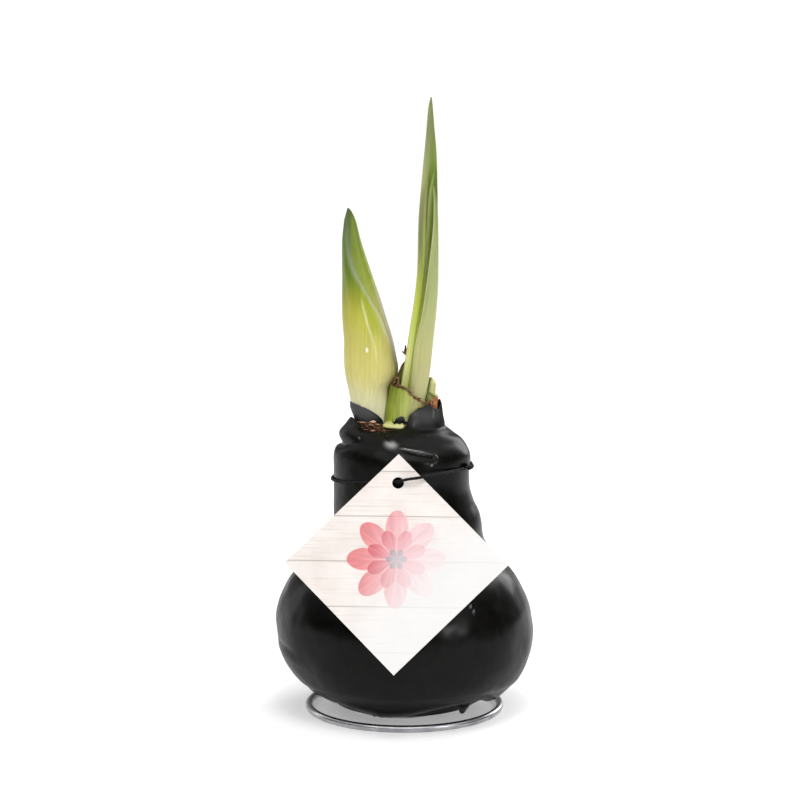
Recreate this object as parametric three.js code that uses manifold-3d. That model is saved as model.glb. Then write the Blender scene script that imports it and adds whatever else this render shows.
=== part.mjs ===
// A forced amaryllis bulb dipped in wax: a bud and young leaves rise from its neck, a card tag hangs
// on an elastic round the neck, and the bulb stands on a flat wire spiral whose inner end is pushed
// into its base.
//
// Millimetres, +Z up, seen from the front along +Y. The shapes are written round the bulb's own axis,
// and the finished group is moved so that the origin is the middle of the footprint, on the floor.

import * as THREE from 'three';
import { mergeVertices } from 'three/addons/utils/BufferGeometryUtils.js';
import Module from 'manifold-3d';

const wasm = await Module();
wasm.setup();

// ------------------------------------------------------------------ driving dimensions

const GAP = 0.3; // clearance between two pieces that touch
const AXIS_BACK = 2.5; // the bulb's axis stands this far behind the middle of the footprint

const WAX = 2.0; // thickness of the wax coat
const PAPER = 0.7; // thickness of the papery neck
const NECK_FLOOR = 94.0; // height in the neck that bud and leaves stand on
const NECK_MIDDLE = -2.8; // the neck's opening lies this far to the right of the axis
const NECK_WIDE = 15.0; // half width of the opening
const NECK_DEEP = 8.2; // half depth of the opening

const WIRE = 2.5; // thickness of the stand's wire
const RING = 33.65; // radius of the outer turn, to the middle of the wire
const SPIRAL_PITCH = 9.2; // distance between the inner turns
const SPIRAL_STEP = 12.0; // the wire crosses inwards by this much before its inner turns
const SPIRAL_CROSSING = 0.35; // share of a turn that the crossing takes
const SPIKE_TOP = 24.0; // height of the wire's upturned end
const SPIKE_BEND = 4.0; // radius of the bend at the foot of that end

const TAG_SIDE = 53.5;
const TAG_THICK = 0.45;
const TAG_HOLE = 4.0; // diameter
const TAG_HOLE_DROP = 10.0; // from the top corner to the middle of the hole
const TAG_AT = [-2.2, -25.6, 85.2]; // middle of the hole
const TAG_LEAN = 21.8; // degrees that the tag leans back on the bulb
const TAG_YAW = -3.5; // degrees that its right edge comes forward
const TAG_TURN = 0.0; // degrees that it hangs out of square

const ELASTIC = 1.1; // thickness of the elastic
const KNOT = 1.1; // radius of its knot
const NECK_ROUND = [24.25, 22.55]; // half width and half depth that the elastic goes round

// The wax coat from the hole in its underside, round the lip at its foot and up to the neck:
// height, half width, half depth, shift to the right, share of the rim's rise, share of the lip's wave.
const COAT = [
  [2.8, 4.2, 4.2, 0.0, 0, 0],
  [2.8, 14.0, 14.0, 0.0, 0, 0],
  [2.8, 23.4, 23.4, 0.1, 0, 0],
  [3.6, 25.6, 25.6, 0.3, 0, 0.25],
  [4.5, 27.6, 27.6, 0.5, 0, 0.75],
  [4.2, 29.6, 29.6, 0.8, 0, 1],
  [5.0, 31.7, 31.7, 0.9, 0, 0.85],
  [6.7, 33.9, 33.9, 1.0, 0, 0.5],
  [9.9, 36.9, 36.9, 1.1, 0, 0.2],
  [13.6, 40.5, 40.5, 1.0, 0, 0.05],
  [20.6, 43.9, 43.9, 0.4, 0, 0],
  [27.6, 45.0, 45.0, 0.2, 0, 0],
  [35.2, 44.5, 44.5, -0.3, 0, 0],
  [42.2, 42.1, 42.1, -0.5, 0, 0],
  [48.6, 38.6, 38.4, -0.4, 0, 0],
  [54.0, 32.6, 32.2, 0.0, 0, 0],
  [60.0, 27.8, 27.2, 0.3, 0, 0],
  [66.8, 25.8, 25.2, 0.8, 0, 0],
  [74.4, 24.5, 23.4, -0.4, 0, 0],
  [82.0, 23.8, 22.4, -1.0, 0, 0],
  [89.5, 23.8, 21.9, -0.8, 0, 0],
  [93.6, 22.9, 20.6, -1.0, 0, 0],
  [96.6, 21.0, 17.8, -1.6, 0, 0],
  [99.3, 19.2, 14.4, -3.0, 0, 0],
];
const COAT_RIM = [
  [101.2, 17.4, 11.4, -3.2, 0.35, 0],
  [102.3, 16.0, 9.2, -2.9, 1, 0],
  [102.0, NECK_WIDE, NECK_DEEP, NECK_MIDDLE, 1, 0],
  [99.6, NECK_WIDE, NECK_DEEP, NECK_MIDDLE, 0.3, 0],
];
const COAT_FLOOR = [
  [9.6, 33.4, 33.4, 0.8, 0, 0.5],
  [7.0, 29.0, 29.0, 0.5, 0, 0.9],
  [5.2, 23.0, 23.0, 0.1, 0, 0.2],
  [5.0, 4.2, 4.2, 0.0, 0, 0],
];
const BODY_FROM = 9; // the rows of COAT from here up are copied inwards for its inside

// How far the rim stands above its usual height, every 30 degrees from the right-hand side round by
// the back, and how far the lip does, every 15 degrees.
const RIM_RISE = [6.2, 5.0, 2.5, 0.5, 0.0, 0.0, 0.8, 0.2, -2.6, -1.5, 5.2, 6.6];
const LIP_WAVE = [
  -0.8, -0.6, 0.2, 1.0, 0.8, 0.1, -0.4, -0.9, -1.0, -0.3, 0.6, 0.9,
  0.6, 1.5, 2.4, 2.1, 0.8, -0.3, 0.5, 2.1, 3.9, 4.1, 2.2, 0.0,
];

// The bud: height, middle to the right, middle to the back, half width, half depth.
const BUD = [
  [94.3, -12.4, 0.4, 3.9, 3.0],
  [101.0, -11.8, 0.4, 4.4, 3.2],
  [108.0, -12.3, 0.7, 6.2, 4.4],
  [114.5, -12.35, 0.9, 7.2, 5.2],
  [117.2, -12.2, 1.0, 8.1, 5.6],
  [120.8, -11.5, 1.0, 9.35, 6.1],
  [125.0, -11.9, 1.0, 9.1, 6.1],
  [131.0, -12.5, 1.0, 8.5, 5.9],
  [138.0, -13.8, 0.9, 7.7, 5.4],
  [145.0, -14.9, 0.8, 6.7, 4.8],
  [152.0, -16.1, 0.7, 5.4, 4.0],
  [158.5, -17.2, 0.6, 4.3, 3.2],
  [165.5, -18.2, 0.5, 3.1, 2.4],
  [171.5, -18.6, 0.4, 2.0, 1.6],
  [175.0, -19.0, 0.3, 1.0, 0.9],
  [176.5, -19.4, 0.3, 0.2, 0.2],
];

// Leaves: height, middle to the right, middle to the back, width, depth of the channel, thickness,
// and the direction in degrees that the channel opens to.
const LEAF_TALL = [
  [94.3, 0.2, 1.2, 9.0, 2.4, 1.4, -82],
  [101.0, 1.2, 1.2, 9.3, 2.5, 1.4, -82],
  [110.0, 2.6, 1.2, 9.5, 2.6, 1.3, -82],
  [120.0, 4.0, 1.4, 9.0, 2.7, 1.2, -78],
  [131.0, 5.3, 1.6, 8.3, 2.7, 1.1, -75],
  [151.6, 7.6, 1.7, 7.2, 2.4, 1.0, -75],
  [172.0, 8.0, 1.7, 6.6, 2.0, 0.9, -75],
  [186.0, 8.6, 1.7, 5.6, 1.6, 0.8, -75],
  [196.4, 8.9, 1.6, 4.2, 1.2, 0.7, -75],
  [204.0, 8.9, 1.5, 2.8, 0.8, 0.6, -75],
  [210.5, 8.9, 1.4, 1.7, 0.4, 0.5, -75],
  [214.4, 9.1, 1.3, 0.4, 0.1, 0.3, -75],
];
const LEAF_INNER = [
  [94.3, 0.6, 0.0, 6.0, 1.2, 1.1, -75],
  [110.0, 3.3, 0.0, 5.8, 1.2, 1.0, -75],
  [130.0, 5.9, 0.1, 5.4, 1.2, 0.9, -75],
  [150.0, 8.4, 0.2, 4.8, 1.1, 0.8, -75],
  [169.0, 9.5, 0.2, 4.0, 1.0, 0.7, -75],
  [180.0, 9.8, 0.2, 3.3, 0.8, 0.6, -75],
  [187.5, 10.2, 0.2, 2.1, 0.5, 0.5, -75],
  [192.5, 10.6, 0.2, 0.4, 0.1, 0.3, -75],
];
const LEAF_FRONT = [
  [94.3, 1.8, -2.0, 6.0, 1.1, 1.1, 98],
  [110.0, 4.7, -2.1, 6.4, 1.2, 1.1, 98],
  [119.0, 5.65, -2.4, 6.8, 1.4, 1.1, 102],
  [129.0, 6.5, -2.5, 6.7, 1.4, 1.0, 105],
  [140.0, 8.1, -2.5, 5.8, 1.3, 0.9, 110],
  [149.0, 9.15, -2.5, 5.3, 1.2, 0.8, 115],
  [158.0, 9.8, -2.6, 4.6, 1.0, 0.8, 130],
  [169.0, 10.4, -2.9, 3.8, 0.8, 0.7, 155],
  [179.0, 10.5, -2.7, 2.6, 0.5, 0.6, 160],
  [186.6, 9.9, -2.2, 0.4, 0.1, 0.3, 160],
];
const DRY_TIP = [
  [94.3, -3.4, 3.0, 2.0, 0.1, 0.6, -50],
  [104.0, -2.45, 2.98, 2.0, 0.1, 0.6, -50],
  [112.0, -1.25, 2.95, 1.9, 0.1, 0.6, -50],
  [120.0, 0.0, 2.95, 1.7, 0.1, 0.5, -50],
  [124.0, 0.0, 2.5, 1.4, 0.1, 0.5, -60],
  [126.2, -0.1, 2.0, 1.4, 0.1, 0.5, -75],
  [128.5, 0.35, 1.9, 0.5, 0.0, 0.4, -75],
];

const SHEATH_WIDE = 7.8; // half width of the cut leaf base, outside
const SHEATH_DEEP = 6.2;
const SHEATH_THICK = 1.1;
const SHEATH_MIDDLE = 0.7; // its middle lies this far to the right at SHEATH_LEVEL
const SHEATH_LEVEL = 101.0;
const SHEATH_LEAN = 0.17; // millimetres to the right for each millimetre up
const SHEATH_RIM = 112.6; // height of its slanted cut at the middle
const SHEATH_SLANT = 0.4;
const TONGUE_AT = 110; // degrees: a tongue of the rim stands up here, at the back
const TONGUE_WIDE = 24; // degrees to each side
const TONGUE_TALL = 8.3;

const STUB_THICK = 1.3; // below the cut leaf base's rim
const STUB_ARC = [-6, 34]; // degrees round the cut leaf base
const STUB_NARROW = [12, 20]; // between these degrees its foot rises
const STUB_LOW = 9.4; // by this much
const STUB_STRAIGHT = 111.0; // above this height it no longer leans out
const STUB_STEP = 1.4; // it steps inwards by this much over the rim
const STUB_SWELL = 0.5; // and is thicker by this much
const STUB_TOP = 117.4;

// ------------------------------------------------------------------ smooth runs and closed skins

const radians = THREE.MathUtils.degToRad;

// one number on a smooth curve through four, between the middle two
function bend(before, here, next, after, t) {
  const leave = (next - before) / 2;
  const reach = (after - here) / 2;
  const lift = 2 * (here - next) + leave + reach;
  return here + t * (leave + t * (3 * (next - here) - 2 * leave - reach + t * lift));
}

// the row at a share of the way through a list of rows, smoothly from row to row
function along(rows, share) {
  const last = rows.length - 1;
  const i = Math.min(Math.floor(share * last), last - 1);
  const before = rows[Math.max(i - 1, 0)];
  const [here, next] = [rows[i], rows[i + 1]];
  const after = rows[Math.min(i + 2, last)];
  return here.map((value, k) => bend(before[k], value, next[k], after[k], share * last - i));
}

// the value at an angle of a smooth closed curve through evenly spaced values
function around(values, angle) {
  const turn = THREE.MathUtils.euclideanModulo(angle / (2 * Math.PI), 1) * values.length;
  const i = Math.floor(turn);
  const pick = (k) => values[THREE.MathUtils.euclideanModulo(k, values.length)];
  return bend(pick(i - 1), pick(i), pick(i + 1), pick(i + 2), turn - i);
}

function shares(count) {
  return Array.from({ length: count }, (_, i) => i / (count - 1));
}

function ease(low, high, value) {
  return THREE.MathUtils.smoothstep(value, low, high);
}

// A closed solid over rings of points. The rings run counter-clockwise seen from where they lead to.
// The last ring joins the first where the run is closed. Otherwise each end is zipped shut across.
function solidOver(rings, closed = false) {
  const count = rings[0].length;
  const faces = [];
  const quad = (a, b, c, d) => faces.push(a, b, c, a, c, d);
  for (let i = 0; i < rings.length - (closed ? 0 : 1); i += 1) {
    const [row, up] = [i * count, ((i + 1) % rings.length) * count];
    for (let j = 0; j < count; j += 1) {
      const k = (j + 1) % count;
      quad(row + j, row + k, up + k, up + j);
    }
  }
  if (!closed) {
    const top = (rings.length - 1) * count;
    for (let j = 0; j < count / 2 - 1; j += 1) {
      const [k, l, m] = [j + 1, count - 2 - j, count - 1 - j];
      quad(m, l, k, j);
      quad(top + j, top + k, top + l, top + m);
    }
  }
  const geometry = new THREE.BufferGeometry();
  const positions = rings.flat().flatMap((point) => point.toArray());
  geometry.setAttribute('position', new THREE.Float32BufferAttribute(positions, 3));
  geometry.setIndex(faces);
  return geometry;
}

function mergedGeometry(geometry) {
  const bare = geometry.clone();
  bare.deleteAttribute('normal');
  bare.deleteAttribute('uv');
  return mergeVertices(bare, 1e-4);
}

function toSolid(geometry) {
  const bare = mergedGeometry(geometry);
  return new wasm.Manifold(new wasm.Mesh({
    numProp: 3,
    vertProperties: new Float32Array(bare.attributes.position.array),
    triVerts: new Uint32Array(bare.index.array),
  }));
}

function toGeometry(solid) {
  const mesh = solid.getMesh();
  const geometry = new THREE.BufferGeometry();
  geometry.setAttribute('position', new THREE.BufferAttribute(new Float32Array(mesh.vertProperties), 3));
  geometry.setIndex(new THREE.BufferAttribute(new Uint32Array(mesh.triVerts), 1));
  return geometry;
}

// ------------------------------------------------------------------ wax coat and bulb

const COAT_COLUMNS = 36;

function ovalRing([z, wide, deep, shift, rise, wave], columns = COAT_COLUMNS) {
  return Array.from({ length: columns }, (_, j) => {
    const angle = (j / columns) * 2 * Math.PI;
    const lift = rise * around(RIM_RISE, angle) + wave * around(LIP_WAVE, angle);
    return new THREE.Vector3(shift + wide * Math.cos(angle), deep * Math.sin(angle), z + lift);
  });
}

// rows moved inwards from the skin that they describe
function inset(rows, depth) {
  return rows.map(([z, wide, deep, shift, rise, wave], i) => {
    const from = rows[Math.max(i - 1, 0)];
    const to = rows[Math.min(i + 1, rows.length - 1)];
    const climb = new THREE.Vector2(to[1] + to[2] - from[1] - from[2], 2 * (to[0] - from[0])).normalize();
    return [z + depth * climb.x, wide - depth * climb.y, deep - depth * climb.y, shift, rise, wave];
  });
}

function makeWaxCoat() {
  const outside = [...COAT, ...COAT_RIM.slice(0, 3)];
  const inside = inset(COAT.slice(BODY_FROM), WAX).reverse();
  const outerRings = shares(40).map((share) => ovalRing(along(outside, share)));
  const innerRings = [COAT_RIM[3], ...inside, ...COAT_FLOOR].map((row) => ovalRing(row));
  return solidOver([...outerRings, ...innerRings], true);
}

function makeBulb() {
  const floor = COAT_FLOOR.map(([z, wide, deep, shift, rise, wave]) => (
    [z + 3 * GAP, wide - GAP, deep - GAP, shift, rise, wave]
  ));
  const base = [[5.9, 3.0, 3.0, 0, 0, 0], ...floor.slice(0, 3).reverse()];
  const skin = inset(COAT.slice(BODY_FROM), WAX + GAP);
  const [wide, deep] = [NECK_WIDE - GAP, NECK_DEEP - GAP];
  const neck = [
    [98.8, wide, deep, NECK_MIDDLE, 0.2, 0],
    [101.0, wide, deep, NECK_MIDDLE, 0.3, 0],
    [101.0, wide - PAPER, deep - PAPER, NECK_MIDDLE, 0.3, 0],
    [NECK_FLOOR, wide - PAPER, deep - PAPER, NECK_MIDDLE, 0, 0],
    [NECK_FLOOR, 3.0, 2.0, NECK_MIDDLE, 0, 0],
  ];
  const body = toSolid(solidOver([...base, ...skin, ...neck].map((row) => ovalRing(row))));
  const bore = new THREE.CylinderGeometry(WIRE / 2 + 2 * GAP, WIRE / 2 + 2 * GAP, SPIKE_TOP + GAP, 16);
  bore.rotateX(Math.PI / 2);
  bore.translate(0, 0, (SPIKE_TOP + GAP) / 2);
  return toGeometry(body.subtract(toSolid(bore)));
}

// ------------------------------------------------------------------ bud and leaves

function makeBud() {
  return solidOver(shares(22).map((share) => {
    const [z, x, y, wide, deep] = along(BUD, share);
    return ovalRing([z, wide, deep, x, 0, 0], 20).map((point) => point.setY(point.y + y));
  }));
}

// A blade with a channel along it. Each ring runs along the outside of the blade and back inside.
function makeLeaf(rows, rings) {
  const across = [-1, -0.8, -0.4, 0, 0.4, 0.8, 1];
  return solidOver(shares(rings).map((share) => {
    const [z, x, y, width, depth, thick, facing] = along(rows, share);
    const open = new THREE.Vector3(Math.cos(radians(facing)), Math.sin(radians(facing)), 0);
    const side = new THREE.Vector3(-open.y, open.x, 0);
    const at = (place, half) => new THREE.Vector3(x, y, z)
      .addScaledVector(side, (place * width) / 2)
      .addScaledVector(open, half * (1 - 0.5 * place * place) - depth * (1 - place * place));
    const outer = across.map((place) => at(place, -thick / 2)).reverse();
    const inner = across.map((place) => at(place, thick / 2));
    return [...outer, ...inner];
  }));
}

// An upright wall: at each angle its section runs up the outside and down the inside.
// The two sides are given as functions of angle and height, and so are its foot and its rim.
function makeWall({ from, to, steps, levels, foot, rim, outer, inner }) {
  const closed = to - from === 360;
  const angles = closed ? shares(steps + 1).slice(0, -1) : shares(steps);
  return solidOver(angles.map((share) => {
    const angle = radians(from + share * (to - from));
    const height = (up) => foot(angle) + up * (rim(angle) - foot(angle));
    const up = shares(levels).map((share) => outer(angle, height(share)));
    const down = shares(levels).map((share) => inner(angle, height(share))).reverse();
    return [...up, ...down].reverse();
  }), closed);
}

function oval(middle, back, wide, deep, angle, z) {
  return new THREE.Vector3(middle + wide * Math.cos(angle), back + deep * Math.sin(angle), z);
}

function sheathMiddle(z) {
  return SHEATH_MIDDLE + SHEATH_LEAN * (z - SHEATH_LEVEL);
}

function sheathRim(angle) {
  const away = (THREE.MathUtils.radToDeg(angle) - TONGUE_AT) / TONGUE_WIDE;
  return SHEATH_RIM - SHEATH_SLANT * SHEATH_WIDE * Math.cos(angle) + TONGUE_TALL * Math.exp(-(away ** 4));
}

function makeSheath() {
  const side = (inset) => (angle, z) => oval(
    sheathMiddle(z), 0, SHEATH_WIDE - inset, SHEATH_DEEP - inset, angle, z,
  );
  return makeWall({
    from: 0,
    to: 360,
    steps: 36,
    levels: 6,
    foot: () => NECK_FLOOR + GAP,
    rim: sheathRim,
    outer: side(0),
    inner: side(SHEATH_THICK),
  });
}

// the stub stands outside the cut leaf base, and leans in over its rim
function makeStub() {
  const side = (out, step) => (angle, z) => {
    const over = step * ease(4 * GAP, 9 * GAP, z - sheathRim(angle));
    return oval(
      sheathMiddle(Math.min(z, STUB_STRAIGHT)), 0, SHEATH_WIDE + out - over, SHEATH_DEEP + out - over, angle, z,
    );
  };
  return makeWall({
    from: STUB_ARC[0],
    to: STUB_ARC[1],
    steps: 12,
    levels: 18,
    foot: (angle) => NECK_FLOOR + GAP + STUB_LOW * ease(radians(STUB_NARROW[0]), radians(STUB_NARROW[1]), angle),
    rim: (angle) => STUB_TOP - 3.0 * Math.abs(angle - radians(12)),
    outer: side(1.2 * GAP + STUB_THICK, STUB_STEP - STUB_SWELL),
    inner: side(1.2 * GAP, STUB_STEP),
  });
}

// torn brown paper that stands on the edge of the bulb's neck
function makePaperEdge({ from, to, steps, foot, rim }) {
  const side = (inset) => (angle, z) => oval(
    NECK_MIDDLE, 0, NECK_WIDE - inset, NECK_DEEP - inset, angle, z,
  );
  const [outer, inner] = [side(1.5 * GAP), side(1.5 * GAP + 0.5)];
  return makeWall({ from, to, steps, levels: 4, foot, rim, outer, inner });
}

// a lick of wax that follows the foot of the bud
function makeWaxOnBud() {
  const side = (out) => (angle, z) => {
    const next = BUD.findIndex((row) => row[0] > z);
    const [below, above] = [BUD[next - 1][0], BUD[next][0]];
    const share = (next - 1 + (z - below) / (above - below)) / (BUD.length - 1);
    const [, x, y, wide, deep] = along(BUD, share);
    return oval(x, y, wide + out, deep + out, angle, z);
  };
  return makeWall({
    from: 140,
    to: 318,
    steps: 20,
    levels: 5,
    foot: (angle) => 104.1 - 2.5 * ease(radians(225), radians(262), angle),
    rim: (angle) => 109.2 - 7.1 * Math.max((angle - radians(185)) / radians(137), 0) ** 2.2
      - 2.4 * ease(0, 0.7, Math.PI - angle),
    outer: side(1.2 * GAP + 0.5),
    inner: side(1.2 * GAP),
  });
}

// ------------------------------------------------------------------ wire stand, tag and elastic

function roundSection(thick, sides) {
  const reach = thick / 2 / Math.cos(Math.PI / sides);
  return new THREE.Shape(Array.from({ length: sides }, (_, i) => {
    const angle = ((i + 0.5) / sides) * 2 * Math.PI;
    return new THREE.Vector2(reach * Math.cos(angle), reach * Math.sin(angle));
  }));
}

function makeWireStand() {
  const level = WIRE / 2;
  const [start, leave, finish] = [100, 385, 820]; // degrees: outer end, turn inwards, inner end
  const spiral = [];
  for (let turn = start; turn <= finish; turn += 15) {
    const turnedIn = Math.max(turn - leave, 0) / 360;
    const radius = RING - SPIRAL_PITCH * turnedIn - SPIRAL_STEP * ease(0, SPIRAL_CROSSING, turnedIn);
    spiral.push(oval(0, 0, radius, radius, radians(turn), level));
  }
  const end = spiral[spiral.length - 1];
  const heading = end.clone().sub(spiral[spiral.length - 2]).normalize();
  const bendStart = new THREE.Vector3(-SPIKE_BEND, 0, level);
  const bendEnd = new THREE.Vector3(0, 0, level + SPIKE_BEND);
  const round = 0.5523 * SPIKE_BEND; // handle length that makes a quarter circle
  const path = new THREE.CurvePath();
  path.add(new THREE.CatmullRomCurve3(spiral));
  path.add(new THREE.CubicBezierCurve3(
    end,
    end.clone().addScaledVector(heading, 7),
    bendStart.clone().add(new THREE.Vector3(-7, 0, 0)),
    bendStart,
  ));
  path.add(new THREE.CubicBezierCurve3(
    bendStart,
    bendStart.clone().add(new THREE.Vector3(round, 0, 0)),
    bendEnd.clone().add(new THREE.Vector3(0, 0, -round)),
    bendEnd,
  ));
  path.add(new THREE.LineCurve3(bendEnd, new THREE.Vector3(0, 0, SPIKE_TOP)));
  return new THREE.ExtrudeGeometry(roundSection(WIRE, 8), { steps: 140, extrudePath: path });
}

// the square hangs by a corner, and the hole is the middle of its own drawing
function makeTag() {
  const half = TAG_SIDE / Math.SQRT2;
  const above = TAG_HOLE_DROP;
  const card = new THREE.Shape([
    new THREE.Vector2(0, above),
    new THREE.Vector2(-half, above - half),
    new THREE.Vector2(0, above - 2 * half),
    new THREE.Vector2(half, above - half),
  ]);
  card.holes.push(new THREE.Path().absarc(0, 0, TAG_HOLE / 2, 0, 2 * Math.PI));
  const settings = { depth: TAG_THICK, bevelEnabled: false, curveSegments: 12 };
  const geometry = new THREE.ExtrudeGeometry(card, settings);
  geometry.translate(0, 0, -TAG_THICK / 2);
  geometry.rotateZ(radians(TAG_TURN));
  geometry.rotateX(radians(90 - TAG_LEAN));
  geometry.rotateZ(radians(TAG_YAW));
  geometry.translate(...TAG_AT);
  return geometry;
}

function elasticRoute() {
  const points = [];
  for (let angle = -24; angle <= 246; angle += 15) {
    const turn = radians(angle);
    const tilt = 84.6 + 2.5 * Math.cos(turn) + 1.2 * Math.max(-Math.sin(turn), 0);
    points.push(oval(-0.9, 0, NECK_ROUND[0] + ELASTIC / 2, NECK_ROUND[1] + ELASTIC / 2, turn, tilt));
  }
  const [x, y, z] = TAG_AT;
  points.push(
    new THREE.Vector3(x - 3.6, y + 2.6, z + 0.6),
    new THREE.Vector3(x - 1.3, y + 1.6, z + 0.2),
    new THREE.Vector3(x + 0.2, y + 0.3, z + 0.4),
    new THREE.Vector3(x + 1.3, y - 1.1, z + 1.0),
    new THREE.Vector3(x + 3.4, y - 1.7, z + 1.6),
    new THREE.Vector3(x + 7.8, y - 1.5, z + 2.2),
    new THREE.Vector3(x + 12.5, y + 1.4, z + 2.6),
    new THREE.Vector3(x + 17.5, y + 6.4, z + 2.6),
  );
  return new THREE.CatmullRomCurve3(points, true);
}

function makeElastic() {
  const route = elasticRoute();
  const loop = toSolid(new THREE.TubeGeometry(route, 84, ELASTIC / 2, 8, true));
  const knotAt = oval(-0.9, 0, NECK_ROUND[0] + KNOT, NECK_ROUND[1] + KNOT, radians(-4), 87.2);
  const lump = new THREE.SphereGeometry(KNOT, 10, 8);
  lump.scale(0.8, 1.3, 0.9);
  lump.translate(knotAt.x, knotAt.y, knotAt.z);
  return toGeometry(loop.add(toSolid(lump)));
}

// ------------------------------------------------------------------ the object

const finishes = {
  wax: new THREE.MeshStandardMaterial({ color: 0x17161a, roughness: 0.35, metalness: 0 }),
  paper: new THREE.MeshStandardMaterial({ color: 0x85653a, roughness: 0.85, metalness: 0 }),
  bud: new THREE.MeshStandardMaterial({ color: 0xc9cb73, roughness: 0.5, metalness: 0 }),
  leaf: new THREE.MeshStandardMaterial({ color: 0x9fb35a, roughness: 0.5, metalness: 0 }),
  cutLeaf: new THREE.MeshStandardMaterial({ color: 0x95a048, roughness: 0.5, metalness: 0 }),
  card: new THREE.MeshStandardMaterial({ color: 0xfaf4f0, roughness: 0.6, metalness: 0 }),
  elastic: new THREE.MeshStandardMaterial({ color: 0x141414, roughness: 0.7, metalness: 0 }),
  wire: new THREE.MeshStandardMaterial({ color: 0xcbcbcb, roughness: 0.2, metalness: 1 }),
};

const amaryllis = new THREE.Group();
amaryllis.position.y = AXIS_BACK;

function place(name, geometry, material) {
  const mesh = new THREE.Mesh(mergedGeometry(geometry), material);
  mesh.name = name;
  amaryllis.add(mesh);
}

place('wax_coat', makeWaxCoat(), finishes.wax);
place('wax_on_bud', makeWaxOnBud(), finishes.wax);
place('bulb', makeBulb(), finishes.paper);
place('flower_bud', makeBud(), finishes.bud);
place('leaf_tall', makeLeaf(LEAF_TALL, 26), finishes.leaf);
place('leaf_inner', makeLeaf(LEAF_INNER, 18), finishes.leaf);
place('leaf_front', makeLeaf(LEAF_FRONT, 22), finishes.leaf);
place('neck_sheath', makeSheath(), finishes.cutLeaf);
place('cut_leaf_stub', makeStub(), finishes.cutLeaf);
place('dry_leaf_tip', makeLeaf(DRY_TIP, 14), finishes.paper);
place('dry_tunic_edge', makePaperEdge({
  from: 200,
  to: 268,
  steps: 16,
  foot: (angle) => 101.3 + 0.3 * around(RIM_RISE, angle),
  rim: (angle) => 102.9 + 0.6 * around(RIM_RISE, angle) + 0.5 * Math.sin(9 * angle),
}), finishes.paper);
place('dry_scale_right', makePaperEdge({
  from: -34,
  to: -13,
  steps: 7,
  foot: () => 103.4,
  rim: (angle) => 110.6 - 12 * Math.abs(angle + radians(19)),
}), finishes.paper);
place('wire_stand', makeWireStand(), finishes.wire);
place('tag', makeTag(), finishes.card);
place('elastic_loop', makeElastic(), finishes.elastic);

export default amaryllis;
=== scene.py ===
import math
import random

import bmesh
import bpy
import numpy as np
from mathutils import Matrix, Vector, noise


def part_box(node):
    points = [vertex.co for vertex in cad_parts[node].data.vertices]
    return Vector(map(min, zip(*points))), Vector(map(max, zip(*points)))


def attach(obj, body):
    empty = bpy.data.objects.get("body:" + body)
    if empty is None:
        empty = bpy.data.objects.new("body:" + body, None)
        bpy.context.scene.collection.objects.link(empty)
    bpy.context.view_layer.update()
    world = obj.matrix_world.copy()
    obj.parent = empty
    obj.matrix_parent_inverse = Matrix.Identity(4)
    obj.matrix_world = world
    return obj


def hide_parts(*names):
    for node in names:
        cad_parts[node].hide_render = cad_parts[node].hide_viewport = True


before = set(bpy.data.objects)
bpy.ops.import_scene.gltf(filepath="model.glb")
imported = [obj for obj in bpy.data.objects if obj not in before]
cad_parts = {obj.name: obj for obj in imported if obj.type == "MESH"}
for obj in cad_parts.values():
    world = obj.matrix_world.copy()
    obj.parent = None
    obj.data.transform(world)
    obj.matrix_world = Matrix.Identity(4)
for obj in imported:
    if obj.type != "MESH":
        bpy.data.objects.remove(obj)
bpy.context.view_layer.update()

# A forced amaryllis bulb in black wax, with a bud and young leaves, a card tag on an elastic, and a
# bright wire spiral to stand on.
#
# Lengths in the tables are millimetres, measured from the bulb's own axis on the floor, with +X to the
# right and -Y to the front, and frame_point turns such a place into metres in the frame. An angle is
# counted from the right-hand side round by the back, unless its table says from the front, which is
# from the front to the right.

MM = 0.001
bulb_low, bulb_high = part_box("bulb")
AXIS_Y = (bulb_low.y + bulb_high.y) / 2  # the bulb stands upright on this line, at x = 0


# ------------------------------------------------------------------ smooth runs

def frame_point(x, y, z):
    return Vector((x * MM, y * MM + AXIS_Y, z * MM))


def bend(before, here, following, after, t):
    """A value on the smooth curve through four, between the middle two."""
    leave, reach = (following - before) / 2, (after - here) / 2
    lift = 2 * (here - following) + leave + reach
    return here + t * (leave + t * (3 * (following - here) - 2 * leave - reach + t * lift))


def along(rows, share):
    """The row at a share of the way through rows, smoothly from row to row."""
    last = len(rows) - 1
    i = min(int(share * last), last - 1)
    four = rows[max(i - 1, 0)], rows[i], rows[i + 1], rows[min(i + 2, last)]
    return [bend(*values, share * last - i) for values in zip(*four)]


def around(values, turn):
    """The value at a share of a turn on a closed curve through evenly spaced values."""
    at = (turn % 1) * len(values)
    i = int(at)
    return bend(*(values[(i + k) % len(values)] for k in (-1, 0, 1, 2)), at - i)


def at_height(rows, z):
    """The row of a list that climbs, at a height given by each row's first number."""
    i = max(k for k in range(len(rows) - 1) if k == 0 or rows[k][0] <= z)
    part = (z - rows[i][0]) / (rows[i + 1][0] - rows[i][0])
    return along(rows, (i + min(max(part, 0), 1)) / (len(rows) - 1))


def ease(low, high, value):
    """0 at low and 1 at high, with a soft start and end."""
    t = min(max((value - low) / (high - low), 0), 1)
    return t * t * (3 - 2 * t)


def between(low, full, fade, high, value):
    """0 outside low and high, 1 from full to fade."""
    return ease(low, full, value) * (1 - ease(fade, high, value))


def hill(value, width):
    """1 at nothing, falling away softly on both sides."""
    return math.exp(-(value / width) ** 2)


def shares(count):
    """From 0 to 1 in even steps."""
    return [i / (count - 1) for i in range(count)]


def spread(start, end, count):
    return [start + share * (end - start) for share in shares(count)]


def circle(count):
    """Angles in even steps round a whole turn."""
    return [i / count * 2 * math.pi for i in range(count)]


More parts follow.
